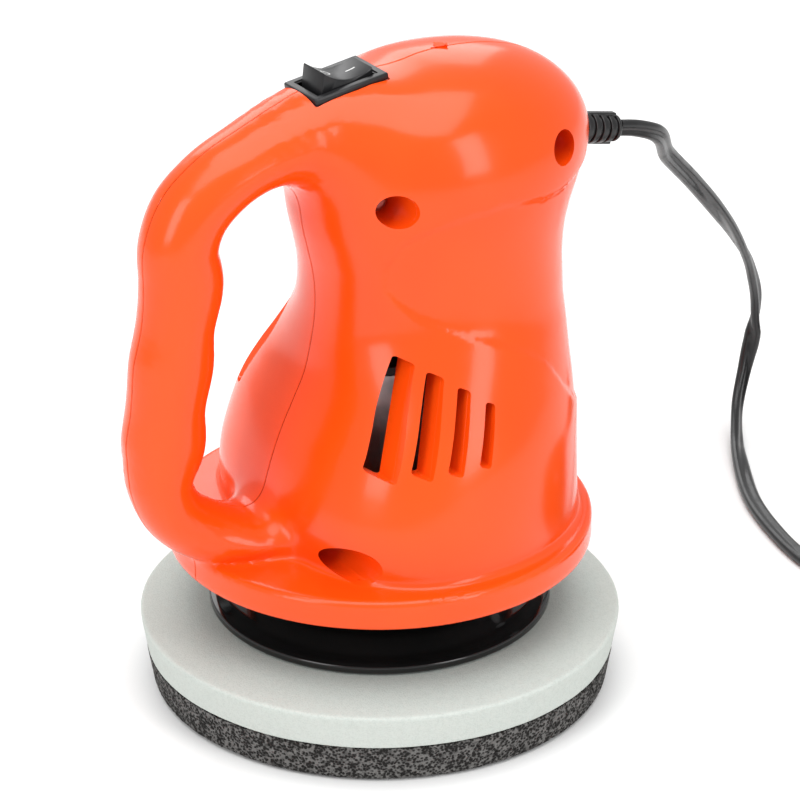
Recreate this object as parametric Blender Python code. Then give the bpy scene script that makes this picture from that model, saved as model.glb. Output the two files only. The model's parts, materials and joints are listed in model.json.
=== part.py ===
"""Small hand-held rotary polisher with a loop handle, modelled as its separate parts.

Frame: metres, +Z up, origin at the centre of the pad's working face. +X points from the
handle to the cord outlet, and Y is across the tool, with the shell joint in the plane Y = 0.
Sizes below are in millimetres and are turned into metres where meshes are made.
"""
import math

import bmesh
import bpy
from mathutils import Matrix, Vector

MM = 0.001
GAP = 0.3

# Pad and backing plate
PAD_R_BOTTOM, PAD_R_MIDDLE, PAD_R_TOP = 59.3, 61.0, 62.5
FOAM_LOWER_TOP = 10.4
FOAM_UPPER_EDGE, FOAM_UPPER_TOP = 20.0, 21.4
PLATE_R, PLATE_HUB_R, PLATE_Z = 44.4, 14.0, 21.7
PLATE_TOP = 31.0

# Shells
FLANGE_R, FLANGE_Z0, FLANGE_Z1 = 54.7, 40.0, 47.7
WALL = 2.4
SHELL_TOP = 168.6
RING_POINTS = 32
# height, centre x, front half length, rear half length, half width, front squareness
BODY_SECTIONS = (
    (46.0, 2.0, 37.0, 49.5, 49.5, 2.4), (60.0, 2.0, 36.7, 49.0, 49.0, 2.4),
    (68.0, 3.0, 35.5, 48.0, 48.0, 2.4), (77.0, 5.0, 34.0, 46.3, 46.0, 2.4),
    (84.0, 7.0, 32.5, 44.0, 43.5, 2.3), (90.0, 9.0, 31.5, 41.5, 41.0, 2.2),
    (98.0, 13.0, 33.5, 37.3, 36.6, 2.05), (104.0, 15.0, 34.0, 35.2, 34.0, 2.0),
    (110.0, 15.7, 34.5, 34.2, 32.7, 2.0), (117.0, 15.7, 35.0, 34.4, 32.0, 2.0),
    (123.0, 15.2, 35.8, 35.4, 32.0, 2.0), (129.0, 15.0, 37.0, 37.8, 32.3, 2.0),
    (135.0, 15.0, 38.0, 40.5, 32.8, 2.0), (141.0, 15.0, 38.0, 42.3, 32.8, 2.0),
    (147.0, 15.0, 37.3, 42.6, 32.0, 2.0), (153.0, 15.0, 35.0, 40.5, 30.0, 2.0),
    (158.0, 15.5, 32.0, 36.0, 26.8, 2.0), (162.0, 16.0, 27.0, 30.5, 22.5, 2.0),
    (165.0, 16.5, 20.0, 23.5, 17.5, 2.0), (167.3, 17.5, 11.0, 13.0, 10.5, 2.0),
)
# x, z, half thickness in the handle's plane, half width across it
HANDLE_PATH = (
    (-8.0, 152.5, 13.9, 16.0), (-22.0, 153.5, 11.6, 14.0), (-36.0, 151.2, 8.6, 11.6),
    (-47.0, 146.2, 8.7, 10.8), (-54.0, 139.8, 9.3, 10.5), (-57.0, 132.0, 9.7, 10.3),
    (-56.5, 123.0, 10.4, 10.3), (-58.5, 111.5, 9.5, 10.2), (-59.8, 102.5, 10.5, 10.2),
    (-61.8, 91.0, 9.7, 10.2), (-62.7, 81.5, 10.5, 10.2), (-64.2, 71.0, 8.0, 9.6),
    (-60.6, 62.0, 7.8, 9.4), (-53.0, 55.2, 7.8, 10.2), (-43.5, 51.5, 6.8, 12.5),
    (-33.0, 50.5, 6.0, 13.0),
)
HANDLE_SIDES = 12

# Vent slots: x and z of the top end, x and z of the bottom end, width
VENTS = ((-9.1, 100.6, -21.6, 74.9, 4.7), (-3.9, 97.6, -13.9, 75.8, 4.1),
         (1.4, 94.3, -6.3, 75.9, 3.5), (6.9, 90.5, 1.7, 76.4, 3.0))

# Shell screws: x and z of each, then the posts, heads and the heads' seat below the joint
SHELL_SCREWS = {"middle": (-9.9, 139.2), "rear": (36.7, 147.0), "low": (-28.2, 52.1)}
RECESS_R, BOSS_R, SCREW_HEAD_R, SCREW_R = 4.3, 5.9, 3.1, 1.45
SEAT_Y = -13.0

# Base cover and the screws that hold it and the motor
COVER_R, COVER_Z0, COVER_Z1, COVER_HOLE = 51.9, 41.8, 44.3, 10.0
COVER_SCREW_R, COVER_SCREW_ANGLES = 46.4, (50.0, 130.0, 230.0, 310.0)
MOTOR_SCREW_X = 12.6

# Motor
MOTOR_R, MOTOR_WALL, MOTOR_Z0, MOTOR_Z1 = 18.2, 1.2, 47.5, 92.0
SHAFT_R, SHAFT_Z0, SHAFT_Z1 = 2.5, 26.0, 99.0
BEARING_R, BEARING_H = 7.0, 4.0

# Switch: centre of the bezel's face, tilt about Y, sizes along, across and down
SWITCH_X, SWITCH_Z, SWITCH_TILT = -12.2, 166.6, math.radians(8.5)
BEZEL_L, BEZEL_W, BEZEL_T = 21.0, 15.0, 1.8
WELL_L, WELL_W, SWITCH_DEPTH = 16.6, 10.6, 12.5
# Rocker: tilt at rest and pivot height, then half lengths at foot and top, foot, dish and dish rise
ROCKER_REST_TILT, ROCKER_PIVOT_Z = math.radians(13.0), -2.0
ROCKER_LOW, ROCKER_TOP, ROCKER_DROP, ROCKER_RISE, ROCKER_DISH = 7.3, 6.9, -3.0, 2.9, 2.15

# Cord: the relief's axis, the coil and its tie, then the lead's route from relief to coil
RELIEF_X0, RELIEF_Z0, RELIEF_TILT, RELIEF_L = 55.6, 139.6, math.radians(-12.0), 17.0
CORD_R = 2.5
COIL_X, COIL_Y, COIL_R = 166.0, -48.0, 30.0
COIL_HALF_W, COIL_Z0, COIL_Z1 = 10.4, 1.2, 16.8
TIE_T, TIE_W, TIE_ANGLE = 0.8, 11.0, math.radians(255.0)
CORD_ROUTE = (
    (72.8, 0.0, 135.9), (77.1, 0.1, 135.0), (83.5, 1.2, 132.6), (101.3, 16.1, 117.0),
    (118.8, 28.0, 102.0), (134.9, 38.0, 87.0), (153.9, 51.3, 68.0), (167.1, 61.2, 52.0),
    (173.5, 66.2, 39.0), (174.2, 67.9, 27.5), (171.7, 67.8, 17.0), (166.5, 63.9, 9.0),
    (158.9, 54.1, 4.4), (149.0, 38.6, 2.6), (138.4, 18.7, 2.6), (132.9, 2.3, 2.6),
    (129.5, -13.4, 2.6), (128.6, -22.6, 3.0),
)
PLUG_X, PLUG_Y, PLUG_R, PLUG_L = 213.8, -4.8, 10.4, 62.0
PLUG_TURN = math.radians(-12.0)
TAIL_ROUTE = (
    (207.4, -35.0, 3.0), (208.9, -28.2, 3.6), (210.3, -21.3, 5.6), (211.8, -14.5, 8.6),
    (213.1, -8.1, 10.1), (213.7, -5.4, 10.4),
)
CORD_STEP = 9.0

# colour, roughness, metallic
FINISHES = {
    "orange": ((0.95, 0.17, 0.012), 0.18, 0.0), "black": ((0.015, 0.015, 0.016), 0.3, 0.0),
    "foam_white": ((0.66, 0.68, 0.64), 0.95, 0.0), "foam_grey": ((0.075, 0.072, 0.07), 0.97, 0.0),
    "steel": ((0.55, 0.55, 0.56), 0.3, 1.0), "zinc": ((0.48, 0.49, 0.5), 0.4, 1.0),
    "copper": ((0.72, 0.32, 0.15), 0.35, 1.0), "magnet": ((0.06, 0.06, 0.065), 0.6, 0.3),
    "carbon": ((0.03, 0.03, 0.03), 0.7, 0.0), "cord": ((0.012, 0.012, 0.012), 0.42, 0.0),
    "fan": ((0.5, 0.5, 0.46), 0.5, 0.0),
}


def make_material(name, colour, roughness, metallic=0.0):
    """Return a Principled material of one colour."""
    material = bpy.data.materials.new(name)
    material.use_nodes = True
    shader = material.node_tree.nodes["Principled BSDF"]
    shader.inputs["Base Color"].default_value = (*colour, 1.0)
    shader.inputs["Roughness"].default_value = roughness
    shader.inputs["Metallic"].default_value = metallic
    return material


def add_object(name, mesh, finish):
    """Link a mesh as a named object with its own material."""
    obj = bpy.data.objects.new(name, mesh)
    bpy.context.scene.collection.objects.link(obj)
    colour, roughness, metallic = FINISHES[finish]
    obj.data.materials.clear()
    obj.data.materials.append(make_material(name + "_material", colour, roughness, metallic))
    return obj


def mesh_from(name, vertices, faces):
    """Build a mesh from millimetre points, with faces turned outwards."""
    mesh = bpy.data.meshes.new(name)
    work = bmesh.new()
    points = [work.verts.new(Vector(v) * MM) for v in vertices]
    for face in faces:
        work.faces.new([points[i] for i in face])
    bmesh.ops.recalc_face_normals(work, faces=work.faces)
    work.to_mesh(mesh)
    work.free()
    mesh.shade_smooth()
    mesh.set_sharp_from_angle(angle=math.radians(35.0))
    return mesh


def loft(name, rings):
    """Skin a list of equal rings of points and close both ends."""
    count = len(rings[0])
    vertices = [point for ring in rings for point in ring]
    faces = []
    for level in range(len(rings) - 1):
        low, high = level * count, (level + 1) * count
        for i in range(count):
            j = (i + 1) % count
            faces.append((low + i, low + j, high + j, high + i))
    faces.append(tuple(range(count)))
    faces.append(tuple(range(len(vertices) - count, len(vertices))))
    return mesh_from(name, vertices, faces)


def turned(name, profile, segments=40, bore=True):
    """Turn a closed (radius, height) outline about Z, or a solid one that starts on the axis."""
    vertices, faces = [], []
    rows = []
    for radius, height in profile:
        if radius < 1e-6:
            rows.append([len(vertices)])
            vertices.append((0.0, 0.0, height))
            continue
        rows.append(list(range(len(vertices), len(vertices) + segments)))
        for i in range(segments):
            turn = 2.0 * math.pi * (i + 0.5) / segments
            vertices.append((radius * math.cos(turn), radius * math.sin(turn), height))
    pairs = list(zip(rows, rows[1:]))
    if bore:
        pairs.append((rows[-1], rows[0]))
    for lower, upper in pairs:
        for i in range(segments):
            j = (i + 1) % segments
            if len(lower) == 1 and len(upper) == 1:
                continue
            if len(lower) == 1:
                faces.append((lower[0], upper[j], upper[i]))
            elif len(upper) == 1:
                faces.append((lower[i], lower[j], upper[0]))
            else:
                faces.append((lower[i], lower[j], upper[j], upper[i]))
    return mesh_from(name, vertices, faces)


def rod(name, radius, low, high, segments=24):
    """A solid cylinder along Z."""
    return turned(name, ((0.0, low), (radius, low), (radius, high), (0.0, high)), segments, bore=False)


def tube(name, inner, outer, low, high, segments=36):
    """A ring of rectangular section about Z."""
    return turned(name, ((inner, low), (outer, low), (outer, high), (inner, high)), segments)


def box(name, size, centre=(0.0, 0.0, 0.0)):
    """A rectangular block."""
    x, y, z = (s / 2.0 for s in size)
    corners = [(centre[0] + i * x, centre[1] + j * y, centre[2] + k * z)
               for k in (-1, 1) for i, j in ((-1, -1), (1, -1), (1, 1), (-1, 1))]
    return mesh_from(name, corners, ((0, 1, 2, 3), (4, 5, 6, 7), (0, 1, 5, 4), (1, 2, 6, 5),
                                     (2, 3, 7, 6), (3, 0, 4, 7)))


def move_mesh(mesh, matrix):
    """Transform a mesh in place and return it."""
    mesh.transform(matrix)
    return mesh


def shift(x, y, z):
    """A translation in millimetres."""
    return Matrix.Translation((x * MM, y * MM, z * MM))


def combine(mesh, tools, operation):
    """Apply exact booleans of tool meshes to a mesh, and return the new mesh."""
    target = bpy.data.objects.new("work", mesh)
    bpy.context.scene.collection.objects.link(target)
    for tool in tools:
        cutter = bpy.data.objects.new("cutter", tool)
        bpy.context.scene.collection.objects.link(cutter)
        modifier = target.modifiers.new("cut", "BOOLEAN")
        modifier.operation = operation
        modifier.object = cutter
        modifier.solver = "EXACT"
        evaluated = target.evaluated_get(bpy.context.evaluated_depsgraph_get())
        target.data = bpy.data.meshes.new_from_object(evaluated)
        target.modifiers.clear()
        bpy.data.objects.remove(cutter)
    result = target.data
    bpy.data.objects.remove(target)
    work = bmesh.new()
    work.from_mesh(result)
    bmesh.ops.remove_doubles(work, verts=work.verts, dist=1e-7)
    work.to_mesh(result)
    work.free()
    result.materials.clear()
    result.shade_smooth()
    result.set_sharp_from_angle(angle=math.radians(35.0))
    return result


# Shells

def body_ring(section, inset=0.0):
    """Points round one horizontal section: a round rear and a flatter front."""
    height, centre, front, rear, half, square = section
    ring = []
    for i in range(RING_POINTS):
        turn = 2.0 * math.pi * (i + 0.5) / RING_POINTS
        cosine, sine = math.cos(turn), math.sin(turn)
        reach = (rear if cosine >= 0.0 else front) - inset
        blend = 2.0 if cosine >= 0.0 else square
        along = math.copysign(abs(cosine) ** (2.0 / blend), cosine)
        across = math.copysign(abs(sine) ** (2.0 / blend), sine)
        ring.append((centre + reach * along, (half - inset) * across, height))
    return ring


def body_mesh(inset=0.0):
    """The pear-shaped body, or its hollow when inset is the wall thickness."""
    top = SHELL_TOP - inset
    rings = []
    for section in BODY_SECTIONS:
        if section[0] > top - 1.0 or min(section[2:5]) < inset + 3.0:
            continue
        rings.append(body_ring(section, inset))
    if inset:
        rings[0] = [(x, y, FLANGE_Z0 - 1.0) for x, y, _ in rings[0]]
    last = rings[-1]
    middle = (sum(p[0] for p in last) / len(last), 0.0)
    rings.append([(middle[0] + (x - middle[0]) * 0.35, y * 0.35, top) for x, y, _ in last])
    return loft("body", rings)


def handle_rings(inset=0.0, first=0, last=None):
    """Elliptical sections square to the handle's centre line."""
    path = HANDLE_PATH[first:last]
    rings = []
    for index, (x, z, thick, wide) in enumerate(path):
        before = path[max(index - 1, 0)]
        after = path[min(index + 1, len(path) - 1)]
        run = Vector((after[0] - before[0], after[1] - before[1])).normalized()
        normal = Vector((-run.y, run.x))
        ring = []
        for i in range(HANDLE_SIDES):
            turn = 2.0 * math.pi * (i + 0.5) / HANDLE_SIDES
            out = (thick - inset) * math.cos(turn)
            ring.append((x + normal.x * out, (wide - inset) * math.sin(turn), z + normal.y * out))
        rings.append(ring)
    return rings


def shell_outer():
    """Body, base flange and loop handle in one solid."""
    flange = turned("flange", ((0.0, FLANGE_Z0), (FLANGE_R - 0.6, FLANGE_Z0), (FLANGE_R, FLANGE_Z0 + 0.6),
                               (FLANGE_R, FLANGE_Z1 - 1.0), (FLANGE_R - 1.0, FLANGE_Z1),
                               (0.0, FLANGE_Z1)), 48, bore=False)
    return combine(body_mesh(), [flange, loft("handle", handle_rings())], "UNION")


def along_y(mesh, x, z):
    """Turn a mesh made along Z to run towards -Y from the joint plane, at x and z."""
    return move_mesh(mesh, shift(x, 0.0, z) @ Matrix.Rotation(math.radians(90.0), 4, "X"))


def vent_cutter(top_x, top_z, low_x, low_z, width):
    """A slanted slot with round ends, cut straight through both walls along Y."""
    run = Vector((low_x - top_x, low_z - top_z))
    length, direction = run.length - width, run.normalized()
    side = Vector((-direction.y, direction.x))
    middle = Vector((top_x + low_x, top_z + low_z)) / 2.0
    outline = []
    for end in (1.0, -1.0):
        for i in range(4):
            turn = math.radians(-90.0 + 60.0 * i) if end > 0 else math.radians(90.0 + 60.0 * i)
            local = Vector((end * length / 2.0 + width / 2.0 * math.cos(turn),
                            width / 2.0 * math.sin(turn)))
            outline.append(middle + direction * local.x + side * local.y)
    rings = [[(p.x, y, p.y) for p in outline] for y in (-60.0, 60.0)]
    return loft("vent", rings)


def shell_cutters():
    """Everything taken out of both shells."""
    tray = rod("tray", FLANGE_R - WALL, FLANGE_Z0 - 2.0, FLANGE_Z1 - WALL, 48)
    grip = loft("grip", handle_rings(WALL, 1, 14))
    well = box("well", (WELL_L + 2.0 + 2.0 * GAP, WELL_W + 2.0 + 2.0 * GAP, SWITCH_DEPTH + 13.0),
               (0.0, 0.0, -SWITCH_DEPTH / 2.0))
    bed = box("bed", (BEZEL_L + 2.0 * GAP, BEZEL_W + 2.0 * GAP, 6.0), (0.0, 0.0, 3.0 - BEZEL_T - GAP))
    switch = [move_mesh(mesh, switch_matrix()) for mesh in (well, bed)]
    relief = move_mesh(rod("relief_hole", 4.3, -8.0, 14.0), relief_matrix())
    vents = [vent_cutter(*vent) for vent in VENTS]
    return [tray, body_mesh(WALL), grip, *switch, relief, *vents]


def post(x, z, side):
    """A round post from the joint plane out into the shell wall."""
    reach = (-60.0, -GAP / 2.0) if side > 0 else (GAP / 2.0, 60.0)
    whole = along_y(rod("post", BOSS_R, *reach, 18), x, z)
    return combine(whole, [body_mesh(WALL / 2.0)], "INTERSECT")


def shell_half(name, hollow, side):
    """One shell: its half of the hollow body, with its screw posts and bores."""
    wide = 200.0
    keep = box("keep", (2.0 * wide, wide, 2.0 * wide), (0.0, side * (wide / 2.0 + GAP / 2.0), 100.0))
    mesh = combine(hollow.copy(), [keep], "INTERSECT")
    posts = [post(x, z, side) for x, z in SHELL_SCREWS.values()]
    bores = []
    for x, z in SHELL_SCREWS.values():
        low, high = (-12.0, 1.0) if side > 0 else (-1.0, -SEAT_Y + 1.0)
        bores.append(along_y(rod("bore", SCREW_R + GAP, low, high, 14), x, z))
        if side < 0:
            bores.append(along_y(rod("recess", RECESS_R, -SEAT_Y, 70.0, 20), x, z))
    mesh = combine(mesh, posts, "UNION")
    mesh = combine(mesh, bores, "DIFFERENCE")
    return add_object(name, mesh, "orange")


def build_shells():
    """Both half shells, made from one hollow solid."""
    hollow = combine(shell_outer(), shell_cutters(), "DIFFERENCE")
    shell_half("shell_right", hollow, -1.0)
    shell_half("shell_left", hollow, 1.0)


def build_shell_screws():
    """The screws that draw the two shells together."""
    for key, (x, z) in SHELL_SCREWS.items():
        profile = ((0.0, -10.0), (SCREW_R - 0.4, -10.0), (SCREW_R, -8.5), (SCREW_R, -SEAT_Y + GAP),
                   (SCREW_HEAD_R, -SEAT_Y + GAP), (SCREW_HEAD_R, -SEAT_Y + 1.8),
                   (SCREW_HEAD_R * 0.6, -SEAT_Y + 2.5), (0.0, -SEAT_Y + 2.5))
        mesh = along_y(turned("screw", profile, 12, bore=False), x, z)
        add_object("shell_screw_" + key, mesh, "zinc")


def small_screw(name, x, y, tip):
    """A pan-head screw that enters from below the base cover."""
    profile = ((0.0, COVER_Z0 - 2.0), (2.2, COVER_Z0 - 2.0), (2.8, COVER_Z0 - 1.3), (2.8, COVER_Z0 - GAP),
               (1.4, COVER_Z0 - GAP), (1.4, tip), (0.0, tip))
    mesh = move_mesh(turned("screw", profile, 12, bore=False), shift(x, y, 0.0))
    return add_object(name, mesh, "zinc")


def cover_screw_places():
    """Centres of the four cover screws."""
    return [(COVER_SCREW_R * math.cos(math.radians(a)), COVER_SCREW_R * math.sin(math.radians(a)))
            for a in COVER_SCREW_ANGLES]


def build_base_cover():
    """The black disc that closes the flange and carries the motor."""
    disc = turned("cover", ((COVER_HOLE, COVER_Z0), (COVER_R, COVER_Z0), (COVER_R, COVER_Z1),
                            (MOTOR_R, COVER_Z1), (MOTOR_R, MOTOR_Z0 - GAP), (COVER_HOLE, MOTOR_Z0 - GAP)), 48)
    holes = [move_mesh(rod("hole", 1.4 + GAP, COVER_Z0 - 1.0, MOTOR_Z0 + 1.0, 12), shift(x, y, 0.0))
             for x, y in cover_screw_places() + [(MOTOR_SCREW_X, 0.0), (-MOTOR_SCREW_X, 0.0)]]
    add_object("base_cover", combine(disc, holes, "DIFFERENCE"), "black")
    for index, (x, y) in enumerate(cover_screw_places()):
        small_screw("cover_screw_%d" % (index + 1), x, y, FLANGE_Z1 - WALL - GAP)
    for index, x in enumerate((MOTOR_SCREW_X, -MOTOR_SCREW_X)):
        small_screw("motor_screw_%d" % (index + 1), x, 0.0, MOTOR_Z0 + 2.2)


def arc_block(name, inner, outer, low, high, start, sweep, steps=8):
    """A curved block, such as a motor magnet."""
    rings = []
    for i in range(steps + 1):
        turn = math.radians(start + sweep * i / steps)
        c, s = math.cos(turn), math.sin(turn)
        corners = ((inner, low), (outer, low), (outer, high), (inner, high))
        rings.append([(r * c, r * s, h) for r, h in corners])
    return loft(name, rings)


def build_motor():
    """Can, magnets, bearings, brushes and end cap: the parts that stand still."""
    inside = MOTOR_R - MOTOR_WALL
    can = turned("can", ((BEARING_R + GAP, MOTOR_Z0), (MOTOR_R, MOTOR_Z0), (MOTOR_R, MOTOR_Z1),
                         (inside, MOTOR_Z1), (inside, MOTOR_Z0 + 1.5), (BEARING_R + GAP, MOTOR_Z0 + 1.5)), 40)
    holes = [move_mesh(rod("hole", 1.4 + GAP, MOTOR_Z0 - 1.0, MOTOR_Z0 + 2.5, 12), shift(x, 0.0, 0.0))
             for x in (MOTOR_SCREW_X, -MOTOR_SCREW_X)]
    add_object("motor_can", combine(can, holes, "DIFFERENCE"), "zinc")
    for index, start in enumerate((30.0, 210.0)):
        magnet = arc_block("magnet", 13.6, inside - GAP, 58.0, 86.0, start, 120.0)
        add_object("magnet_%d" % (index + 1), magnet, "magnet")
    cap_low = MOTOR_Z1 + GAP
    cap = turned("cap", ((BEARING_R + GAP, cap_low), (MOTOR_R, cap_low), (MOTOR_R, cap_low + 2.0),
                         (MOTOR_R - 3.0, cap_low + 3.5), (BEARING_R + GAP, cap_low + 3.5)), 40)
    add_object("motor_end_cap", cap, "black")
    for name, low in (("lower_bearing", MOTOR_Z0 - 1.0), ("upper_bearing", cap_low)):
        ring = tube("bearing", SHAFT_R + 0.1, BEARING_R, low, low + BEARING_H, 24)
        add_object(name, ring, "steel")
    for index, side in enumerate((1.0, -1.0)):
        block = box("brush", (6.0, 4.0, 4.0), (side * 9.6, 0.0, 88.8))
        add_object("brush_%d" % (index + 1), block, "carbon")


def build_spindle():
    """Shaft, rotor, commutator, fan, hub, plate and foam: the parts that spin."""
    add_object("motor_shaft", rod("shaft", SHAFT_R, SHAFT_Z0, SHAFT_Z1, 24), "steel")
    bore = SHAFT_R + GAP
    core = turned("core", ((bore, 60.0), (12.8, 60.0), (12.8, 84.0), (bore, 84.0)), 36)
    slots = [move_mesh(box("slot", (5.0, 1.6, 30.0), (12.0, 0.0, 72.0)),
                       Matrix.Rotation(math.radians(72.0 * i + 36.0), 4, "Z")) for i in range(5)]
    add_object("rotor_core", combine(core, slots, "DIFFERENCE"), "copper")
    add_object("commutator", tube("commutator", bore, 6.0, 86.0, 91.4, 24), "copper")
    blades = [move_mesh(box("blade", (10.0, 1.0, 4.4), (9.6, 0.0, 55.4)),
                        Matrix.Rotation(2.0 * math.pi * i / 7, 4, "Z")) for i in range(7)]
    disc = turned("fan", ((bore, 52.6), (15.4, 52.6), (15.4, 53.8), (5.2, 53.8), (5.2, 57.6),
                          (bore, 57.6)), 36)
    add_object("cooling_fan", combine(disc, blades, "UNION"), "fan")
    hub = turned("hub", ((bore, PLATE_TOP + GAP), (9.0, PLATE_TOP + GAP), (9.0, 38.0), (7.0, 40.0),
                         (bore, 40.0)), 32)
    add_object("drive_hub", hub, "black")
    plate = turned("plate", ((7.6, PLATE_Z), (PLATE_R - 0.8, PLATE_Z), (PLATE_R, PLATE_Z + 0.8),
                             (PLATE_R, PLATE_Z + 2.0), (PLATE_R - 1.2, PLATE_Z + 2.6),
                             (PLATE_R - 5.0, PLATE_Z + 3.0), (PLATE_R - 9.0, PLATE_Z + 6.5),
                             (PLATE_HUB_R + 4.0, PLATE_Z + 7.4), (PLATE_HUB_R, PLATE_TOP),
                             (bore, PLATE_TOP), (bore, PLATE_Z + 3.6), (7.6, PLATE_Z + 3.6)), 44)
    add_object("backing_plate", plate, "black")
    screw = turned("screw", ((0.0, PLATE_Z + 0.4), (4.2, PLATE_Z + 0.4), (6.0, PLATE_Z + 1.6),
                             (6.0, PLATE_Z + 3.3), (0.0, PLATE_Z + 3.3)), 24, bore=False)
    add_object("plate_screw", screw, "zinc")
    upper = turned("upper", ((0.0, FOAM_LOWER_TOP + GAP), (PAD_R_MIDDLE, FOAM_LOWER_TOP + GAP),
                             (PAD_R_TOP, FOAM_UPPER_EDGE - 0.6), (PAD_R_TOP - 0.8, FOAM_UPPER_EDGE),
                             (PLATE_R + 2.0, FOAM_UPPER_TOP), (0.0, FOAM_UPPER_TOP)), 56, bore=False)
    add_object("foam_upper", upper, "foam_white")
    lower = turned("lower", ((0.0, 0.0), (PAD_R_BOTTOM - 1.2, 0.0), (PAD_R_BOTTOM, 1.0),
                             (PAD_R_MIDDLE, FOAM_LOWER_TOP), (0.0, FOAM_LOWER_TOP)), 56, bore=False)
    add_object("foam_lower", lower, "foam_grey")


def switch_matrix():
    """Places a mesh whose face is at z = 0 onto the shell's switch seat."""
    return shift(SWITCH_X, 0.0, SWITCH_Z) @ Matrix.Rotation(-SWITCH_TILT, 4, "Y")


def build_switch():
    """Rocker switch: housing with a well, rocker on its pivot, and two terminals."""
    place = switch_matrix()
    bezel = box("bezel", (BEZEL_L, BEZEL_W, BEZEL_T), (0.0, 0.0, -BEZEL_T / 2.0))
    case = box("case", (WELL_L + 2.0, WELL_W + 2.0, SWITCH_DEPTH), (0.0, 0.0, -SWITCH_DEPTH / 2.0 - 0.4))
    well = box("well", (WELL_L, WELL_W, 11.0), (0.0, 0.0, -3.9))
    mesh = combine(combine(bezel, [case], "UNION"), [well], "DIFFERENCE")
    add_object("switch_housing", move_mesh(mesh, place), "black")
    outline = [(-ROCKER_LOW, ROCKER_DROP), (ROCKER_LOW, ROCKER_DROP)]
    for i in range(9):
        share = 1.0 - 2.0 * i / 8.0
        outline.append((ROCKER_TOP * share, ROCKER_RISE + ROCKER_DISH * share * share))
    wide = WELL_W / 2.0 - 0.4
    rings = [[(x, y, z) for x, z in outline] for y in (-wide, wide)]
    rocker = loft("rocker", rings)
    pivot = shift(0.0, 0.0, ROCKER_PIVOT_Z)
    tilt = Matrix.Rotation(ROCKER_REST_TILT, 4, "Y")
    rocker.transform(tilt)
    obj = add_object("switch_rocker", rocker, "black")
    obj.matrix_world = place @ pivot
    for index, x in enumerate((-4.5, 4.5)):
        blade = box("blade", (0.8, 4.8, 4.4), (x, 0.0, -SWITCH_DEPTH - 0.4 - GAP - 2.2))
        add_object("switch_terminal_%d" % (index + 1), move_mesh(blade, place), "copper")


def relief_matrix():
    """Places a mesh made along Z onto the strain relief's axis."""
    return (shift(RELIEF_X0, 0.0, RELIEF_Z0) @ Matrix.Rotation(-RELIEF_TILT, 4, "Y")
            @ Matrix.Rotation(math.radians(90.0), 4, "Y"))


def build_strain_relief():
    """A tapered ribbed sleeve with a flange inside the shell wall."""
    profile = [(0.0, -5.0), (6.4, -5.0), (6.4, -3.4), (4.0, -3.4), (4.0, 3.0)]
    for i in range(4):
        low, radius = 3.0 + 3.2 * i, 4.4 - 0.3 * i
        profile += [(radius, low), (radius, low + 2.2), (radius - 0.9, low + 2.2), (radius - 0.9, low + 3.2)]
    profile += [(3.2, RELIEF_L - 1.0), (2.9, RELIEF_L), (0.0, RELIEF_L)]
    mesh = move_mesh(turned("relief", profile, 20, bore=False), relief_matrix())
    add_object("strain_relief", mesh, "cord")


def smooth_route(points, step):
    """Points a step apart on a smooth curve through the given ones."""
    route = [Vector(p) for p in points]
    ends = [2.0 * route[0] - route[1], *route, 2.0 * route[-1] - route[-2]]
    dense = []
    for a, b, c, d in zip(ends, ends[1:], ends[2:], ends[3:]):
        for i in range(16):
            t = i / 16.0
            dense.append(0.5 * (2.0 * b + (c - a) * t + (2.0 * a - 5.0 * b + 4.0 * c - d) * t ** 2
                                + (3.0 * b - a - 3.0 * c + d) * t ** 3))
    dense.append(route[-1])
    total = sum((q - p).length for p, q in zip(dense, dense[1:]))
    count = max(2, round(total / step))
    result, walked, index = [dense[0]], 0.0, 0
    for k in range(1, count):
        goal = total * k / count
        while walked + (dense[index + 1] - dense[index]).length < goal:
            walked += (dense[index + 1] - dense[index]).length
            index += 1
        piece = dense[index + 1] - dense[index]
        result.append(dense[index] + piece * ((goal - walked) / piece.length))
    result.append(dense[-1])
    return result


def lead(name, route):
    """A run of the lead as a tube along a smooth curve."""
    curve = bpy.data.curves.new(name, "CURVE")
    curve.dimensions = "3D"
    curve.bevel_depth = CORD_R * MM
    curve.bevel_resolution = 2
    curve.use_fill_caps = True
    spline = curve.splines.new("POLY")
    points = smooth_route(route, CORD_STEP)
    spline.points.add(len(points) - 1)
    for slot, point in zip(spline.points, points):
        slot.co = (*(point * MM), 1.0)
    colour, roughness, metallic = FINISHES["cord"]
    curve.materials.append(make_material(name + "_material", colour, roughness, metallic))
    obj = bpy.data.objects.new(name, curve)
    bpy.context.scene.collection.objects.link(obj)


def coil_tie():
    """A strap once round the coil's cross section, let out where the ring curves inwards."""
    inner = COIL_R - COIL_HALF_W
    near = math.sqrt(inner ** 2 - (TIE_W / 2.0) ** 2) - GAP
    far = COIL_R + COIL_HALF_W + GAP
    low, high = COIL_Z0 - GAP, COIL_Z1 + GAP
    centre = ((near + far) / 2.0, 0.0, (low + high) / 2.0)
    band = box("band", (far - near + 2.0 * TIE_T, TIE_W, high - low + 2.0 * TIE_T), centre)
    hole = box("hole", (far - near, TIE_W + 2.0, high - low), centre)
    turn = Matrix.Rotation(TIE_ANGLE, 4, "Z")
    return move_mesh(combine(band, [hole], "DIFFERENCE"), shift(COIL_X, COIL_Y, 0.0) @ turn)


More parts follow.
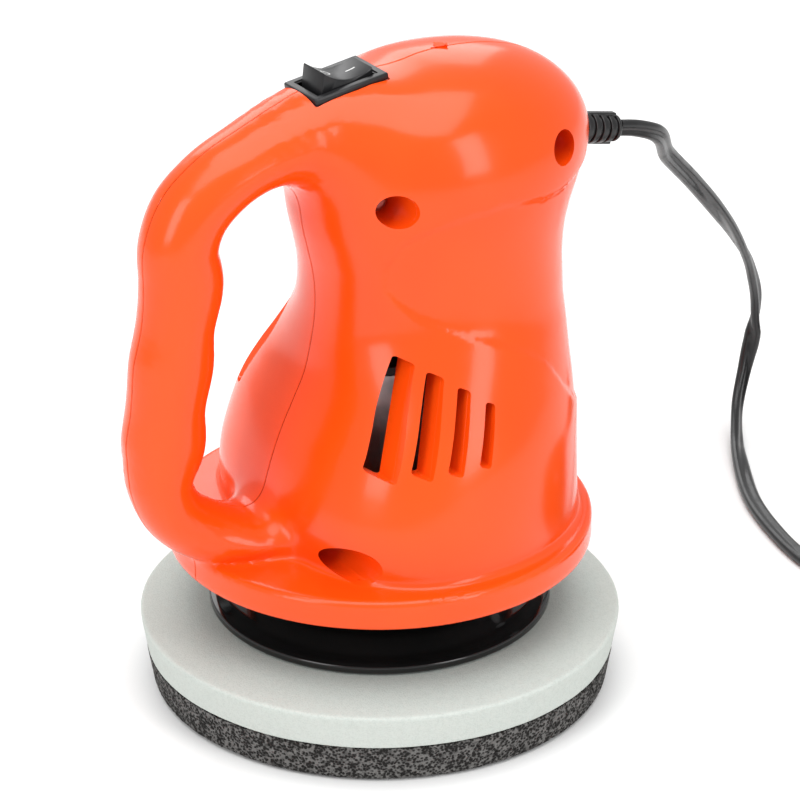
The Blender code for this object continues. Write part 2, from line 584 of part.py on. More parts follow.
def build_coil_and_plug():
    """The wound spare length and the plug that fits a vehicle socket."""
    inner, outer = COIL_R - COIL_HALF_W, COIL_R + COIL_HALF_W
    low, high = COIL_Z0, COIL_Z1
    profile = ((inner, low + 1.5), (inner + 1.5, low), (outer - 1.5, low), (outer, low + 1.5),
               (outer, high - 1.5), (outer - 1.5, high), (inner + 1.5, high), (inner, high - 1.5))
    add_object("cord_coil", move_mesh(turned("coil", profile, 36), shift(COIL_X, COIL_Y, 0.0)), "cord")
    add_object("cord_tie", coil_tie(), "black")
    lie = (shift(PLUG_X, PLUG_Y, PLUG_R) @ Matrix.Rotation(PLUG_TURN, 4, "Z")
           @ Matrix.Rotation(math.radians(-90.0), 4, "X"))
    body = turned("body", ((0.0, 0.0), (4.0, 0.0), (4.6, 6.0), (PLUG_R - 2.4, 9.0), (PLUG_R, 14.0),
                           (PLUG_R, 34.0), (PLUG_R - 0.9, 36.0), (PLUG_R - 0.9, PLUG_L - 5.0),
                           (PLUG_R - 3.0, PLUG_L), (0.0, PLUG_L)), 28, bore=False)
    add_object("plug_body", move_mesh(body, lie), "black")
    tip = turned("tip", ((0.0, PLUG_L + GAP), (4.2, PLUG_L + GAP), (4.2, PLUG_L + 3.0), (2.2, PLUG_L + 6.0),
                         (0.0, PLUG_L + 6.0)), 20, bore=False)
    add_object("plug_tip", move_mesh(tip, lie), "steel")


def main():
    """Build every part."""
    for obj in list(bpy.data.objects):
        bpy.data.objects.remove(obj, do_unlink=True)
    build_shells()
    build_shell_screws()
    build_base_cover()
    build_motor()
    build_spindle()
    build_switch()
    build_strain_relief()
    lead("cord", CORD_ROUTE)
    lead("cord_tail", TAIL_ROUTE)
    build_coil_and_plug()


main()
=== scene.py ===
"""Looks of a small hand-held rotary polisher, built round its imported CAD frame.

Frame: metres, +Z up, origin at the centre of the pad's working face. +X points from the
handle to the cord outlet, Y is across the tool, and the shells meet in the plane Y = 0.
Lengths in the classes below are in millimetres; Maker turns them into metres.
"""
from __future__ import annotations

import json
import logging
import math
from dataclasses import dataclass, field
from enum import Enum
from typing import Iterable, Sequence

import bmesh
import bpy
import numpy as np
from mathutils import Matrix, Vector, noise

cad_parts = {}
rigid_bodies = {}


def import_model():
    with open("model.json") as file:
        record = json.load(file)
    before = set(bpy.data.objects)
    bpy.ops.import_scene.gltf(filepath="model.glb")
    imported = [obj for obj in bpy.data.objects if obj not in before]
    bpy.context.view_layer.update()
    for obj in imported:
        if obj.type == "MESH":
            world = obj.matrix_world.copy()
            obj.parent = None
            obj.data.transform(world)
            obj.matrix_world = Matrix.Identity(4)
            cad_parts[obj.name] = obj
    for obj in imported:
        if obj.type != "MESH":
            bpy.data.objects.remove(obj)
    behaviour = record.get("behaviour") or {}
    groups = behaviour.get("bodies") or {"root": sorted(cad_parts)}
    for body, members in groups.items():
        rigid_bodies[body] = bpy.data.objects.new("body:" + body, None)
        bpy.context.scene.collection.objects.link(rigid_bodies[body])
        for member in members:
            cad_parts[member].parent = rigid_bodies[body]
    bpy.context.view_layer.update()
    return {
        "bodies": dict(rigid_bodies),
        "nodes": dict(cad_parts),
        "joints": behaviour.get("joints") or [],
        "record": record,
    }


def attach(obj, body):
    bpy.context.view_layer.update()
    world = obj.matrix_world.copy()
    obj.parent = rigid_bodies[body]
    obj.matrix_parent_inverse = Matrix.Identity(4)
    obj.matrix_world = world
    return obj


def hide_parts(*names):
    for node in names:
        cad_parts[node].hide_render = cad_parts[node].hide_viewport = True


LOG = logging.getLogger("polisher")
MM = 0.001
Colour = tuple[float, float, float]
Point = tuple[float, float, float]


# ---------------------------------------------------------------- shader maths


class Wire:
    """One output of a shader node, with Python's operators on it."""

    def __init__(self, graph: "Graph", socket: bpy.types.NodeSocket) -> None:
        """Keep the graph and the node's output socket."""
        self.graph = graph
        self.socket = socket

    def _math(self, operation: str, first: object, second: object) -> "Wire":
        """Add one Math node.

        Args:
            operation: The Math node's operation.
            first: A wire or a number.
            second: A wire or a number.

        Returns:
            The node's result.
        """
        settings = {"operation": operation}
        return self.graph.node("ShaderNodeMath", settings, {0: first, 1: second})

    def __add__(self, other: object) -> "Wire":
        """Sum."""
        return self._math("ADD", self, other)

    __radd__ = __add__

    def __sub__(self, other: object) -> "Wire":
        """Difference."""
        return self._math("SUBTRACT", self, other)

    def __rsub__(self, other: object) -> "Wire":
        """Difference, the other way round."""
        return self._math("SUBTRACT", other, self)

    def __mul__(self, other: object) -> "Wire":
        """Product."""
        return self._math("MULTIPLY", self, other)

    __rmul__ = __mul__

    def band(self, low: float, high: float) -> "Wire":
        """A smooth step from nought at low to one at high."""
        settings = {"interpolation_type": "SMOOTHSTEP"}
        values = {"Value": self, "From Min": low, "From Max": high}
        return self.graph.node("ShaderNodeMapRange", settings, values)


class Graph:
    """A material's node tree, with one Principled shader at its end."""

    def __init__(self, name: str, constants: dict[str, object]) -> None:
        """Start a material.

        Args:
            name: The material's name.
            constants: Values for the shader's own sockets, by name.
        """
        self.material = bpy.data.materials.new(name)
        self.material.use_nodes = True
        self.tree = self.material.node_tree
        self.shader = self.tree.nodes["Principled BSDF"]
        for socket, value in constants.items():
            self.shader.inputs[socket].default_value = value
        self._place: Wire | None = None

    def node(self, kind: str, settings: dict[str, object] | None = None,
             values: dict[object, object] | None = None, output: object = 0) -> Wire:
        """Add a node of any type.

        Args:
            kind: The node's type.
            settings: Attributes to set first.
            values: Wires or plain values for its inputs, by name or index.
            output: Name or index of the output to return.

        Returns:
            The chosen output.
        """
        node = self.tree.nodes.new(kind)
        for key, value in (settings or {}).items():
            setattr(node, key, value)
        for key, value in (values or {}).items():
            if isinstance(value, Wire):
                self.tree.links.new(value.socket, node.inputs[key])
            else:
                node.inputs[key].default_value = value
        return Wire(self, node.outputs[output])

    @property
    def place(self) -> Wire:
        """The point on the piece, in metres, which rides with it."""
        if self._place is None:
            self._place = self.node("ShaderNodeTexCoord", output="Object")
        return self._place

    def noise(self, scale: float, detail: float = 3.0, rough: float = 0.5) -> Wire:
        """A cloud value about one half, with scale in cells per metre."""
        values = {"Vector": self.place, "Scale": scale, "Detail": detail, "Roughness": rough}
        return self.node("ShaderNodeTexNoise", None, values, "Fac")

    def cells(self, scale: float, feature: str = "F1", jitter: float = 1.0) -> Wire:
        """Distance inside a cell pattern, with scale in cells per metre."""
        values = {"Vector": self.place, "Scale": scale, "Randomness": jitter}
        return self.node("ShaderNodeTexVoronoi", {"feature": feature}, values, "Distance")

    def blend(self, share: object, first: Colour, second: Colour) -> Wire:
        """Mix two colours by a share from nought to one."""
        return self.mix(share, (*first, 1.0), (*second, 1.0))

    def mix(self, share: object, first: object, second: object) -> Wire:
        """Mix two colours, or wires of colours, by a share."""
        settings = {"data_type": "RGBA"}
        return self.node("ShaderNodeMix", settings, {0: share, 6: first, 7: second}, 2)

    def feed(self, socket: str, wire: Wire) -> None:
        """Join a wire to one of the shader's inputs."""
        self.tree.links.new(wire.socket, self.shader.inputs[socket])

    def bump(self, height: Wire, depth_mm: float, strength: float = 1.0) -> None:
        """Feed the shader's normal from a height of nought to one."""
        values = {"Height": height, "Distance": depth_mm * MM, "Strength": strength}
        self.feed("Normal", self.node("ShaderNodeBump", None, values, "Normal"))


# -------------------------------------------------------------------- finishes


@dataclass(frozen=True)
class Moulding:
    """A moulded plastic with a slow tint change, faint sink and fine handling marks."""

    name: str
    colour: Colour
    shade: Colour
    gloss: float = 0.2
    spread: float = 0.06
    peel_mm: float = 0.004
    grain: float = 900.0
    coat: float = 0.0

    def build(self) -> bpy.types.Material:
        """Make the material.

        Returns:
            The finished material.
        """
        constants = {"IOR": 1.45, "Specular IOR Level": 0.4, "Coat Weight": self.coat,
                     "Coat Roughness": 0.06}
        graph = Graph(self.name, constants)
        drift = graph.noise(28.0, 2.0)
        graph.feed("Base Color", graph.blend(drift.band(0.3, 0.7), self.shade, self.colour))
        smudge = graph.noise(55.0, 4.0, 0.6).band(0.45, 0.75)
        fine = graph.noise(650.0, 2.0)
        graph.feed("Roughness", smudge * self.spread + fine * (0.5 * self.spread) + self.gloss)
        peel = graph.noise(self.grain, 2.0) + graph.noise(130.0, 1.0) * 3.0
        graph.bump(peel, self.peel_mm)
        return graph.material


@dataclass(frozen=True)
class Foam:
    """A cut foam: cells show as pits, with painted shade darkening the hollows and lighter ribs."""

    name: str
    rib: Colour
    pit: Colour
    stain: Colour
    cell_mm: float
    depth_mm: float
    open_share: float
    stain_share: float = 0.3

    def build(self) -> bpy.types.Material:
        """Make the material.

        Returns:
            The finished material.
        """
        graph = Graph(self.name, {"IOR": 1.4, "Specular IOR Level": 0.25})
        scale = 1.0 / (self.cell_mm * MM)
        ribs = graph.cells(scale).band(0.15, 0.75)
        small = graph.cells(scale * 2.3).band(0.1, 0.7)
        height = ribs * 0.7 + small * 0.3
        patch = graph.noise(scale * 0.35, 3.0).band(0.35, 0.68)
        # painted shade: the pit colour darkens the cell hollows where shade falls, plus random darker patches
        # of tone
        pit_shade_and_patches = (1.0 - ribs) * self.open_share + patch * (0.6 * self.open_share)
        body = graph.blend(pit_shade_and_patches.band(0.0, 1.0), self.rib, self.pit)
        marks = graph.noise(26.0, 5.0, 0.62).band(0.56, 0.78) * self.stain_share
        graph.feed("Base Color", graph.mix(marks, body, (*self.stain, 1.0)))
        graph.feed("Roughness", 1.0 - ribs * 0.12)
        graph.bump(1.0 - height, self.depth_mm)
        return graph.material


@dataclass(frozen=True)
class Metal:
    """A worked metal with fine turning lines and a dulled film."""

    name: str
    colour: Colour
    film: Colour
    gloss: float = 0.3
    lines: float = 2200.0

    def build(self) -> bpy.types.Material:
        """Make the material.

        Returns:
            The finished material.
        """
        graph = Graph(self.name, {"Metallic": 1.0})
        film = graph.noise(160.0, 4.0).band(0.4, 0.75)
        graph.feed("Base Color", graph.blend(film, self.colour, self.film))
        graph.feed("Roughness", film * 0.18 + self.gloss)
        graph.bump(graph.noise(self.lines, 2.0), 0.01)
        return graph.material


@dataclass(frozen=True)
class Vinyl:
    """Soft PVC on the lead: satin, with a fine drag along it."""

    name: str
    colour: Colour
    worn: Colour
    gloss: float = 0.3

    def build(self) -> bpy.types.Material:
        """Make the material.

        Returns:
            The finished material.
        """
        graph = Graph(self.name, {"IOR": 1.52})
        wear = graph.noise(240.0, 4.0).band(0.5, 0.8)
        graph.feed("Base Color", graph.blend(wear, self.colour, self.worn))
        graph.feed("Roughness", wear * 0.15 + self.gloss)
        graph.bump(graph.noise(900.0, 2.0), 0.03)
        return graph.material


@dataclass(frozen=True)
class Ground:
    """The pale studio floor."""

    name: str = "studio_floor"

    def build(self) -> bpy.types.Material:
        """Make the material.

        Returns:
            The finished material.
        """
        graph = Graph(self.name, {"Roughness": 0.9, "Specular IOR Level": 0.1})
        tint = graph.noise(3.0, 2.0)
        graph.feed("Base Color", graph.blend(tint, (0.9, 0.9, 0.9), (0.93, 0.93, 0.925)))
        return graph.material


class Finish(Enum):
    """Every finish on the tool, each with the record's slot that it belongs to."""

    SHELL = ("shell_orange", Moulding("orange_shell", (0.9, 0.078, 0.004), (0.87, 0.07, 0.003),
                                      gloss=0.17, coat=0.1))
    BLACK = ("black_plastic", Moulding("black_moulding", (0.014, 0.014, 0.015),
                                       (0.011, 0.011, 0.012), gloss=0.38, peel_mm=0.012))
    PLATE = ("plate_black", Moulding("gloss_black_disc", (0.009, 0.008, 0.008),
                                     (0.006, 0.006, 0.006), gloss=0.1, coat=0.3))
    SWITCH = ("switch_black", Moulding("switch_nylon", (0.014, 0.014, 0.015),
                                       (0.011, 0.011, 0.012), gloss=0.27, peel_mm=0.006))
    MARK = ("switch_black", Moulding("switch_mark", (0.75, 0.75, 0.74), (0.68, 0.68, 0.67), gloss=0.5))
    # the pit colour of each foam is painted shade in its cell hollows; the stain colour is real staining
    FOAM_WHITE = ("foam_white", Foam("pale_foam", (0.56, 0.6, 0.565), (0.45, 0.49, 0.46),
                                     (0.42, 0.45, 0.38), 0.42, 0.06, 0.35, 0.16))
    FOAM_GREY = ("foam_grey", Foam("grey_foam", (0.17, 0.165, 0.16), (0.018, 0.017, 0.016),
                                   (0.08, 0.078, 0.075), 0.75, 0.35, 1.0))
    STEEL = ("steel", Metal("ground_steel", (0.56, 0.56, 0.57), (0.42, 0.42, 0.43), 0.25))
    ZINC = ("zinc_steel", Metal("zinc_plate", (0.5, 0.51, 0.52), (0.36, 0.37, 0.38), 0.36))
    COPPER = ("copper", Metal("bare_copper", (0.72, 0.32, 0.15), (0.45, 0.18, 0.09), 0.33))
    MAGNET = ("magnet", Moulding("ferrite", (0.06, 0.06, 0.064), (0.04, 0.04, 0.043), gloss=0.6,
                                 peel_mm=0.03))
    CARBON = ("carbon", Moulding("carbon_block", (0.03, 0.03, 0.03), (0.02, 0.02, 0.02), gloss=0.65,
                                 peel_mm=0.03))
    FAN = ("fan_plastic", Moulding("fan_nylon", (0.5, 0.5, 0.46), (0.44, 0.44, 0.4), gloss=0.5))
    CORD = ("cord_black", Vinyl("lead_vinyl", (0.007, 0.007, 0.0075), (0.012, 0.012, 0.013)))

    @property
    def slot(self) -> str:
        """The record's slot name."""
        return self.value[0]

    def material(self) -> bpy.types.Material:
        """The material, made on first use."""
        recipe = self.value[1]
        return bpy.data.materials.get(recipe.name) or recipe.build()


# ----------------------------------------------------------------- mesh making


class Maker:
    """Turns millimetre points into finished pieces."""

    @staticmethod
    def mesh(name: str, points: Iterable[Sequence[float]], faces: Iterable[Sequence[int]]) -> bpy.types.Mesh:
        """Make a mesh with its faces turned outwards.

        Args:
            name: The mesh's name.
            points: Corners, in millimetres.
            faces: Corner numbers of each face.

        Returns:
            The mesh, in metres.
        """
        mesh = bpy.data.meshes.new(name)
        array = np.asarray(list(points), float) * MM
        mesh.from_pydata(array.tolist(), [], [list(f) for f in faces])
        work = bmesh.new()
        work.from_mesh(mesh)
        bmesh.ops.recalc_face_normals(work, faces=work.faces)
        work.to_mesh(mesh)
        work.free()
        return mesh

    @staticmethod
    def piece(name: str, mesh: bpy.types.Mesh, finish: Finish, body: str, *stands_for: str,
              crease: float = 35.0) -> bpy.types.Object:
        """Place a mesh in the scene as a finished piece.

        Args:
            name: The piece's name.
            mesh: Its mesh, in the frame's metres.
            finish: Its finish.
            body: The CAD body that it rides on.
            stands_for: CAD nodes that it replaces.
            crease: Angle above which an edge is drawn sharp, in degrees.

        Returns:
            The new object.
        """
        obj = bpy.data.objects.new(name, mesh)
        bpy.context.scene.collection.objects.link(obj)
        mesh.materials.clear()
        mesh.materials.append(finish.material())
        mesh.shade_smooth()
        mesh.set_sharp_from_angle(angle=math.radians(crease))
        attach(obj, body)
        if stands_for:
            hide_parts(*stands_for)
        LOG.info("%s: %d faces on %s", name, len(mesh.polygons), body)
        return obj

    @staticmethod
    def rounded(corners: Sequence[tuple[float, float, float]], steps: int = 5) -> list[tuple[float, float]]:
        """Round the corners of a profile.

        Args:
            corners: Radius, height and rounding of each corner.
            steps: Points on each rounded corner.

        Returns:
            The smooth profile.
        """
        path: list[tuple[float, float]] = []
        for index, (r, z, rounding) in enumerate(corners):
            if rounding <= 0.0 or index in (0, len(corners) - 1):
                path.append((r, z))
                continue
            here = Vector((r, z))
            before = Vector(corners[index - 1][:2]) - here
            after = Vector(corners[index + 1][:2]) - here
            cut = min(rounding, before.length * 0.48, after.length * 0.48)
            start, end = here + before.normalized() * cut, here + after.normalized() * cut
            for i in range(steps + 1):
                t = i / steps
                spot = start * (1 - t) ** 2 + here * (2 * t * (1 - t)) + end * t * t
                path.append((spot.x, spot.y))
        return path

    @staticmethod
    def lathe(name: str, profile: Sequence[tuple[float, float]], sides: int = 128,
              closed: bool = False) -> bpy.types.Mesh:
        """Turn a profile about the Z axis.

        Args:
            name: The mesh's name.
            profile: Radius and height of each point, in millimetres.
            sides: Points round the axis.
            closed: True if the profile's ends join, as round a bore.

        Returns:
            The turned mesh.
        """
        points: list[Point] = []
        rings: list[list[int]] = []
        for radius, height in profile:
            if radius < 1e-6:
                rings.append([len(points)])
                points.append((0.0, 0.0, height))
                continue
            rings.append(list(range(len(points), len(points) + sides)))
            for i in range(sides):
                turn = 2.0 * math.pi * i / sides
                points.append((radius * math.cos(turn), radius * math.sin(turn), height))
        pairs = list(zip(rings, rings[1:])) + ([(rings[-1], rings[0])] if closed else [])
        faces: list[tuple[int, ...]] = []
        for low, high in pairs:
            for i in range(sides):
                j = (i + 1) % sides
                if len(low) == 1 and len(high) == 1:
                    break
                if len(low) == 1:
                    faces.append((low[0], high[i], high[j]))
                elif len(high) == 1:
                    faces.append((low[i], high[0], low[j]))
                else:
                    faces.append((low[i], high[i], high[j], low[j]))
        return Maker.mesh(name, points, faces)

    @staticmethod
    def skin(name: str, rings: Sequence[Sequence[Sequence[float]]], capped: bool = True) -> bpy.types.Mesh:
        """Join rings of equal count into a tube.

        Args:
            name: The mesh's name.
            rings: Rings of points, in millimetres.
            capped: True to close both ends.

        Returns:
            The tube.
        """
        sides = len(rings[0])
        points = [p for ring in rings for p in ring]
        faces: list[Sequence[int]] = []
        for k in range(len(rings) - 1):
            for i in range(sides):
                j = (i + 1) % sides
                faces.append((k * sides + i, k * sides + j, (k + 1) * sides + j, (k + 1) * sides + i))
        if capped:
            faces.append(list(range(sides))[::-1])
            faces.append(list(range((len(rings) - 1) * sides, len(rings) * sides)))
        return Maker.mesh(name, points, faces)

    @staticmethod
    def soft_box(name: str, size: Point, rounding: float, centre: Point = (0.0, 0.0, 0.0)) -> bpy.types.Mesh:
        """A box with rounded edges.

        Args:
            name: The mesh's name.
            size: Its sides, in millimetres.
            rounding: Edge rounding, in millimetres.
            centre: Its middle, in millimetres.

        Returns:
            The box.
        """
        work = bmesh.new()
        bmesh.ops.create_cube(work, size=1.0)
        bmesh.ops.scale(work, vec=Vector(size) * MM, verts=work.verts)
        bmesh.ops.bevel(work, geom=work.edges[:], offset=rounding * MM, segments=3, affect="EDGES",
                        profile=0.5)
        bmesh.ops.translate(work, vec=Vector(centre) * MM, verts=work.verts)
        mesh = bpy.data.meshes.new(name)
        work.to_mesh(mesh)
        work.free()
        return mesh

    @staticmethod
    def joined(name: str, meshes: Sequence[bpy.types.Mesh]) -> bpy.types.Mesh:
        """Put several meshes into one."""
        work = bmesh.new()
        for mesh in meshes:
            work.from_mesh(mesh)
        result = bpy.data.meshes.new(name)
        work.to_mesh(result)
        work.free()
        return result

    @staticmethod
    def cut(mesh: bpy.types.Mesh, cutter: bpy.types.Mesh) -> bpy.types.Mesh:
        """Take one closed mesh out of another.

        Args:
            mesh: What is cut.
            cutter: What is taken out.

        Returns:
            The cut mesh.
        """
        target = bpy.data.objects.new("cut_target", mesh)
        tool = bpy.data.objects.new("cut_tool", cutter)
        for obj in (target, tool):
            bpy.context.scene.collection.objects.link(obj)
        modifier = target.modifiers.new("cut", "BOOLEAN")
        modifier.operation = "DIFFERENCE"
        modifier.solver = "MANIFOLD"
        modifier.object = tool
        bpy.context.view_layer.update()
        graph = bpy.context.evaluated_depsgraph_get()
        result = bpy.data.meshes.new_from_object(target.evaluated_get(graph))
        for obj in (target, tool):
            bpy.data.objects.remove(obj, do_unlink=True)
        return result


# ---------------------------------------------------------------- shell shapes


def smooth_table(x: np.ndarray, xs: Sequence[float], ys: Sequence[float]) -> np.ndarray:
    """Read a smooth curve through a few points.

    Args:
        x: Where to read it.
        xs: The points' places, rising.
        ys: The points' values.

    Returns:
        The curve's values, held level past both ends.
    """
    xs, ys = np.asarray(xs, float), np.asarray(ys, float)
    slope = np.gradient(ys, xs)
    x = np.clip(x, xs[0], xs[-1])
    k = np.clip(np.searchsorted(xs, x) - 1, 0, len(xs) - 2)
    step = xs[k + 1] - xs[k]
    t = (x - xs[k]) / step
    a, b = ys[k], ys[k + 1]
    return (a * (1 + 2 * t) * (1 - t) ** 2 + slope[k] * step * t * (1 - t) ** 2
            + b * t * t * (3 - 2 * t) + slope[k + 1] * step * t * t * (t - 1))


def smooth_union(a: np.ndarray, b: np.ndarray, blend: np.ndarray | float) -> np.ndarray:
    """Join two distance fields with a fillet of about the blend's size."""
    share = np.clip(0.5 + 0.5 * (b - a) / blend, 0.0, 1.0)
    return b + (a - b) * share - blend * share * (1.0 - share)


def ease(value: np.ndarray, low: float, high: float) -> np.ndarray:
    """A smooth step from nought at low to one at high."""
    t = np.clip((value - low) / (high - low), 0.0, 1.0)
    return t * t * (3.0 - 2.0 * t)


@dataclass
class ShellForm:
    """The outer surface of both shells as one distance field, in millimetres."""

    flange_radius: float = 54.7
    flange_low: float = 40.0
    flange_high: float = 47.7
    flange_round: float = 1.3
    top: float = 168.6
    foot: float = 42.0
    root_fillet: float = 7.0
    head_fillet: float = 9.0
    flange_fillet: float = 2.2
    panel_depth: float = 0.6
    crown_x: float = 17.8
    crown_long: float = 63.0
    crown_wide: float = 41.6
    # height, centre x, front, rear, half width, front squareness
    sections: tuple[tuple[float, ...], ...] = (
        (46.0, 2.0, 37.0, 49.5, 49.5, 2.4), (60.0, 2.0, 36.7, 49.0, 49.0, 2.4),
        (68.0, 3.0, 35.5, 48.0, 48.0, 2.4), (77.0, 5.0, 34.0, 46.3, 46.0, 2.4),
        (84.0, 7.0, 32.5, 44.0, 43.5, 2.3), (90.0, 9.3, 31.8, 41.3, 40.7, 2.2),
        (98.0, 13.0, 33.3, 37.3, 36.7, 2.05), (104.0, 14.8, 34.0, 35.2, 34.0, 2.0),
        (110.0, 15.7, 34.5, 34.3, 32.6, 2.0), (117.0, 15.7, 35.0, 34.4, 32.0, 2.0),
        (123.0, 15.3, 35.9, 35.6, 32.0, 2.0), (129.0, 15.0, 37.0, 37.8, 32.3, 2.0),
        (135.0, 15.0, 37.8, 40.3, 32.7, 2.0), (141.0, 15.0, 38.0, 42.2, 32.8, 2.0),
        (147.0, 15.0, 37.3, 42.6, 32.0, 2.0), (153.0, 15.0, 35.0, 40.5, 30.0, 2.0),
        (158.0, 15.5, 31.5, 36.0, 26.8, 2.0), (162.0, 16.0, 26.0, 30.3, 22.3, 2.0),
        (165.0, 16.5, 19.6, 23.5, 17.2, 2.0), (167.3, 17.5, 11.6, 14.0, 10.4, 2.0),
        (168.6, 17.8, 0.0, 0.0, 0.0, 2.0),
    )
    # x, z, half thickness in the handle's plane, half width across it
    handle: tuple[tuple[float, ...], ...] = (
        (-8.0, 152.5, 13.9, 16.0), (-22.0, 153.5, 11.6, 14.0), (-36.0, 151.2, 8.6, 11.6),
        (-47.0, 146.2, 8.7, 10.8), (-54.0, 139.8, 9.3, 10.5), (-57.0, 132.0, 9.7, 10.3),
        (-56.5, 123.0, 10.4, 10.3), (-58.5, 111.5, 9.5, 10.2), (-59.8, 102.5, 10.5, 10.2),
        (-61.8, 91.0, 9.7, 10.2), (-62.7, 81.5, 10.5, 10.2), (-64.2, 71.0, 8.0, 9.6),
        (-60.6, 62.0, 7.8, 9.4), (-53.0, 55.2, 7.8, 10.2), (-43.5, 51.5, 6.8, 12.5),
        (-33.0, 50.5, 6.0, 13.0),
    )
    # x and z of the blank panel's outline, from its left point round by the top
    panel: tuple[tuple[float, float], ...] = (
        (-11.5, 124.0), (-8.5, 130.5), (0.0, 135.0), (14.0, 137.7), (31.0, 136.3), (60.0, 137.0),
        (66.0, 110.0), (62.0, 70.0), (46.0, 76.0), (35.1, 84.2), (26.0, 95.5), (13.1, 102.6),
        (2.0, 107.0), (-7.0, 112.5), (-11.0, 118.0),
    )
    _path: np.ndarray = field(init=False, repr=False)
    _outline: np.ndarray = field(init=False, repr=False)

    def __post_init__(self) -> None:
        """Read the handle's centre line and the panel's outline into fine points."""
        rows = np.asarray(self.handle, float)
        run = np.r_[0.0, np.cumsum(np.hypot(*np.diff(rows[:, :2], axis=0).T))]
        fine = np.linspace(0.0, run[-1], 220)
        self._path = np.stack([smooth_table(fine, run, rows[:, k]) for k in range(4)], 1)
        loop = np.asarray(self.panel + self.panel[:1], float)
        walk = np.r_[0.0, np.cumsum(np.hypot(*np.diff(loop, axis=0).T))]
        even = np.linspace(0.0, walk[-1], 240)[:-1]
        self._outline = np.stack([smooth_table(even, walk, loop[:, k]) for k in range(2)], 1)

    def body(self, p: np.ndarray) -> np.ndarray:
        """Distance to the pear-shaped body, about right near its surface."""
        rows = np.asarray(self.sections, float)
        drop = np.sqrt(np.clip(self.top - rows[::-1, 0], 0.0, None))
        depth = np.sqrt(np.clip(self.top - p[:, 2], 0.0, None))
        centre, front, rear, half, square = (
            smooth_table(depth, drop, rows[::-1, k]) for k in range(1, 6))
        x = p[:, 0] - centre
        reach = np.maximum(np.where(x < 0.0, front, rear), 0.05)
        power = np.where(x < 0.0, square, 2.0)
        ratio = ((np.abs(x) / reach) ** power
                 + (np.abs(p[:, 1]) / np.maximum(half, 0.05)) ** power) ** (1.0 / power)
        radius = np.hypot(x, p[:, 1])
        side = np.where(ratio > 1e-4, radius - radius / np.maximum(ratio, 1e-4), -half)
        lean = np.clip((self.top - p[:, 2]) / 12.0, 0.35, 1.0)
        above = p[:, 2] - self.top
        inside = np.where(above > 0.0, np.hypot(above, radius), side * lean)
        return np.maximum(inside, self.foot - p[:, 2])

    def grip(self, p: np.ndarray) -> np.ndarray:
        """Distance to the loop handle."""
        result = np.empty(len(p))
        for start in range(0, len(p), 20000):
            part = p[start:start + 20000]
            dx = part[:, None, 0] - self._path[None, :, 0]
            dz = part[:, None, 2] - self._path[None, :, 1]
            near = np.argmin(dx * dx + dz * dz, axis=1)
            row = np.arange(len(part))
            ends = self._path[np.clip(near + 1, 0, 219)] - self._path[np.clip(near - 1, 0, 219)]
            run = ends[:, :2] / np.hypot(ends[:, 0], ends[:, 1])[:, None]
            gx, gz = dx[row, near], dz[row, near]
            along = gx * run[:, 0] + gz * run[:, 1]
            inner = (near == 0) | (near == 219)
            along = np.where(inner, along, 0.0)
            across = gx * -run[:, 1] + gz * run[:, 0]
            thick, wide = self._path[near, 2], self._path[near, 3]
            radius = np.sqrt(across ** 2 + part[:, 1] ** 2 + along ** 2)
            ratio = np.sqrt((across / thick) ** 2 + (part[:, 1] / wide) ** 2 + (along / thick) ** 2)
            result[start:start + 20000] = radius - radius / np.maximum(ratio, 1e-3)
        return result

    def flange(self, p: np.ndarray) -> np.ndarray:
        """Distance to the rounded disc at the foot."""
        middle = (self.flange_low + self.flange_high) / 2.0
        across = np.hypot(p[:, 0], p[:, 1]) - (self.flange_radius - self.flange_round)
        up = np.abs(p[:, 2] - middle) - (self.flange_high - middle - self.flange_round)
        outside = np.hypot(np.maximum(across, 0.0), np.maximum(up, 0.0))
        return outside + np.minimum(np.maximum(across, up), 0.0) - self.flange_round

    def panel_share(self, p: np.ndarray) -> np.ndarray:
        """One inside the sunk blank panel on the near side, nought outside it."""
        share = np.zeros(len(p))
        near = np.nonzero((p[:, 1] < -2.0) & (p[:, 2] > 66.0) & (p[:, 2] < 142.0))[0]
        loop = self._outline
        following = np.roll(loop, -1, axis=0)
        for start in range(0, len(near), 20000):
            rows = near[start:start + 20000]
            x, z = p[rows, 0][:, None], p[rows, 2][:, None]
            gap = np.sqrt(((x - loop[None, :, 0]) ** 2 + (z - loop[None, :, 1]) ** 2).min(axis=1))
            spans = (loop[None, :, 1] > z) != (following[None, :, 1] > z)
            rise = following[:, 1] - loop[:, 1]
            rise = np.where(np.abs(rise) < 1e-9, 1e-9, rise)
            cross = loop[:, 0] + (z - loop[:, 1]) * (following[:, 0] - loop[:, 0]) / rise
            inside = (spans & (x < cross)).sum(axis=1) % 2 == 1
            share[rows] = ease(np.where(inside, gap, -gap), -0.8, 0.8)
        return share

    def distance(self, p: np.ndarray) -> np.ndarray:
        """Distance from the whole outer surface, negative inside.

        Args:
            p: Points, one to a row, in millimetres.

        Returns:
            One distance for each point.
        """
        fillet = self.root_fillet + (self.head_fillet - self.root_fillet) * ease(p[:, 2], 90.0, 135.0)
        body = smooth_union(self.body(p), self.grip(p), fillet)
        whole = smooth_union(body, self.flange(p), self.flange_fillet)
        return whole + self.panel_depth * self.panel_share(p)

    def crowned(self, p: np.ndarray) -> np.ndarray:
        """Lay the points nearest the top on one smooth dome.

        Args:
            p: Points on the surface.

        Returns:
            The points with an even crown.
        """
        x, y = p[:, 0] - self.crown_x, p[:, 1]
        dome = self.top - x ** 2 / (2.0 * self.crown_long) - y ** 2 / (2.0 * self.crown_wide)
        share = (1.0 - ease(np.hypot(x, y), 6.0, 11.0)) * (p[:, 2] > self.top - 6.0)
        p[:, 2] += (dome - p[:, 2]) * share
        return p

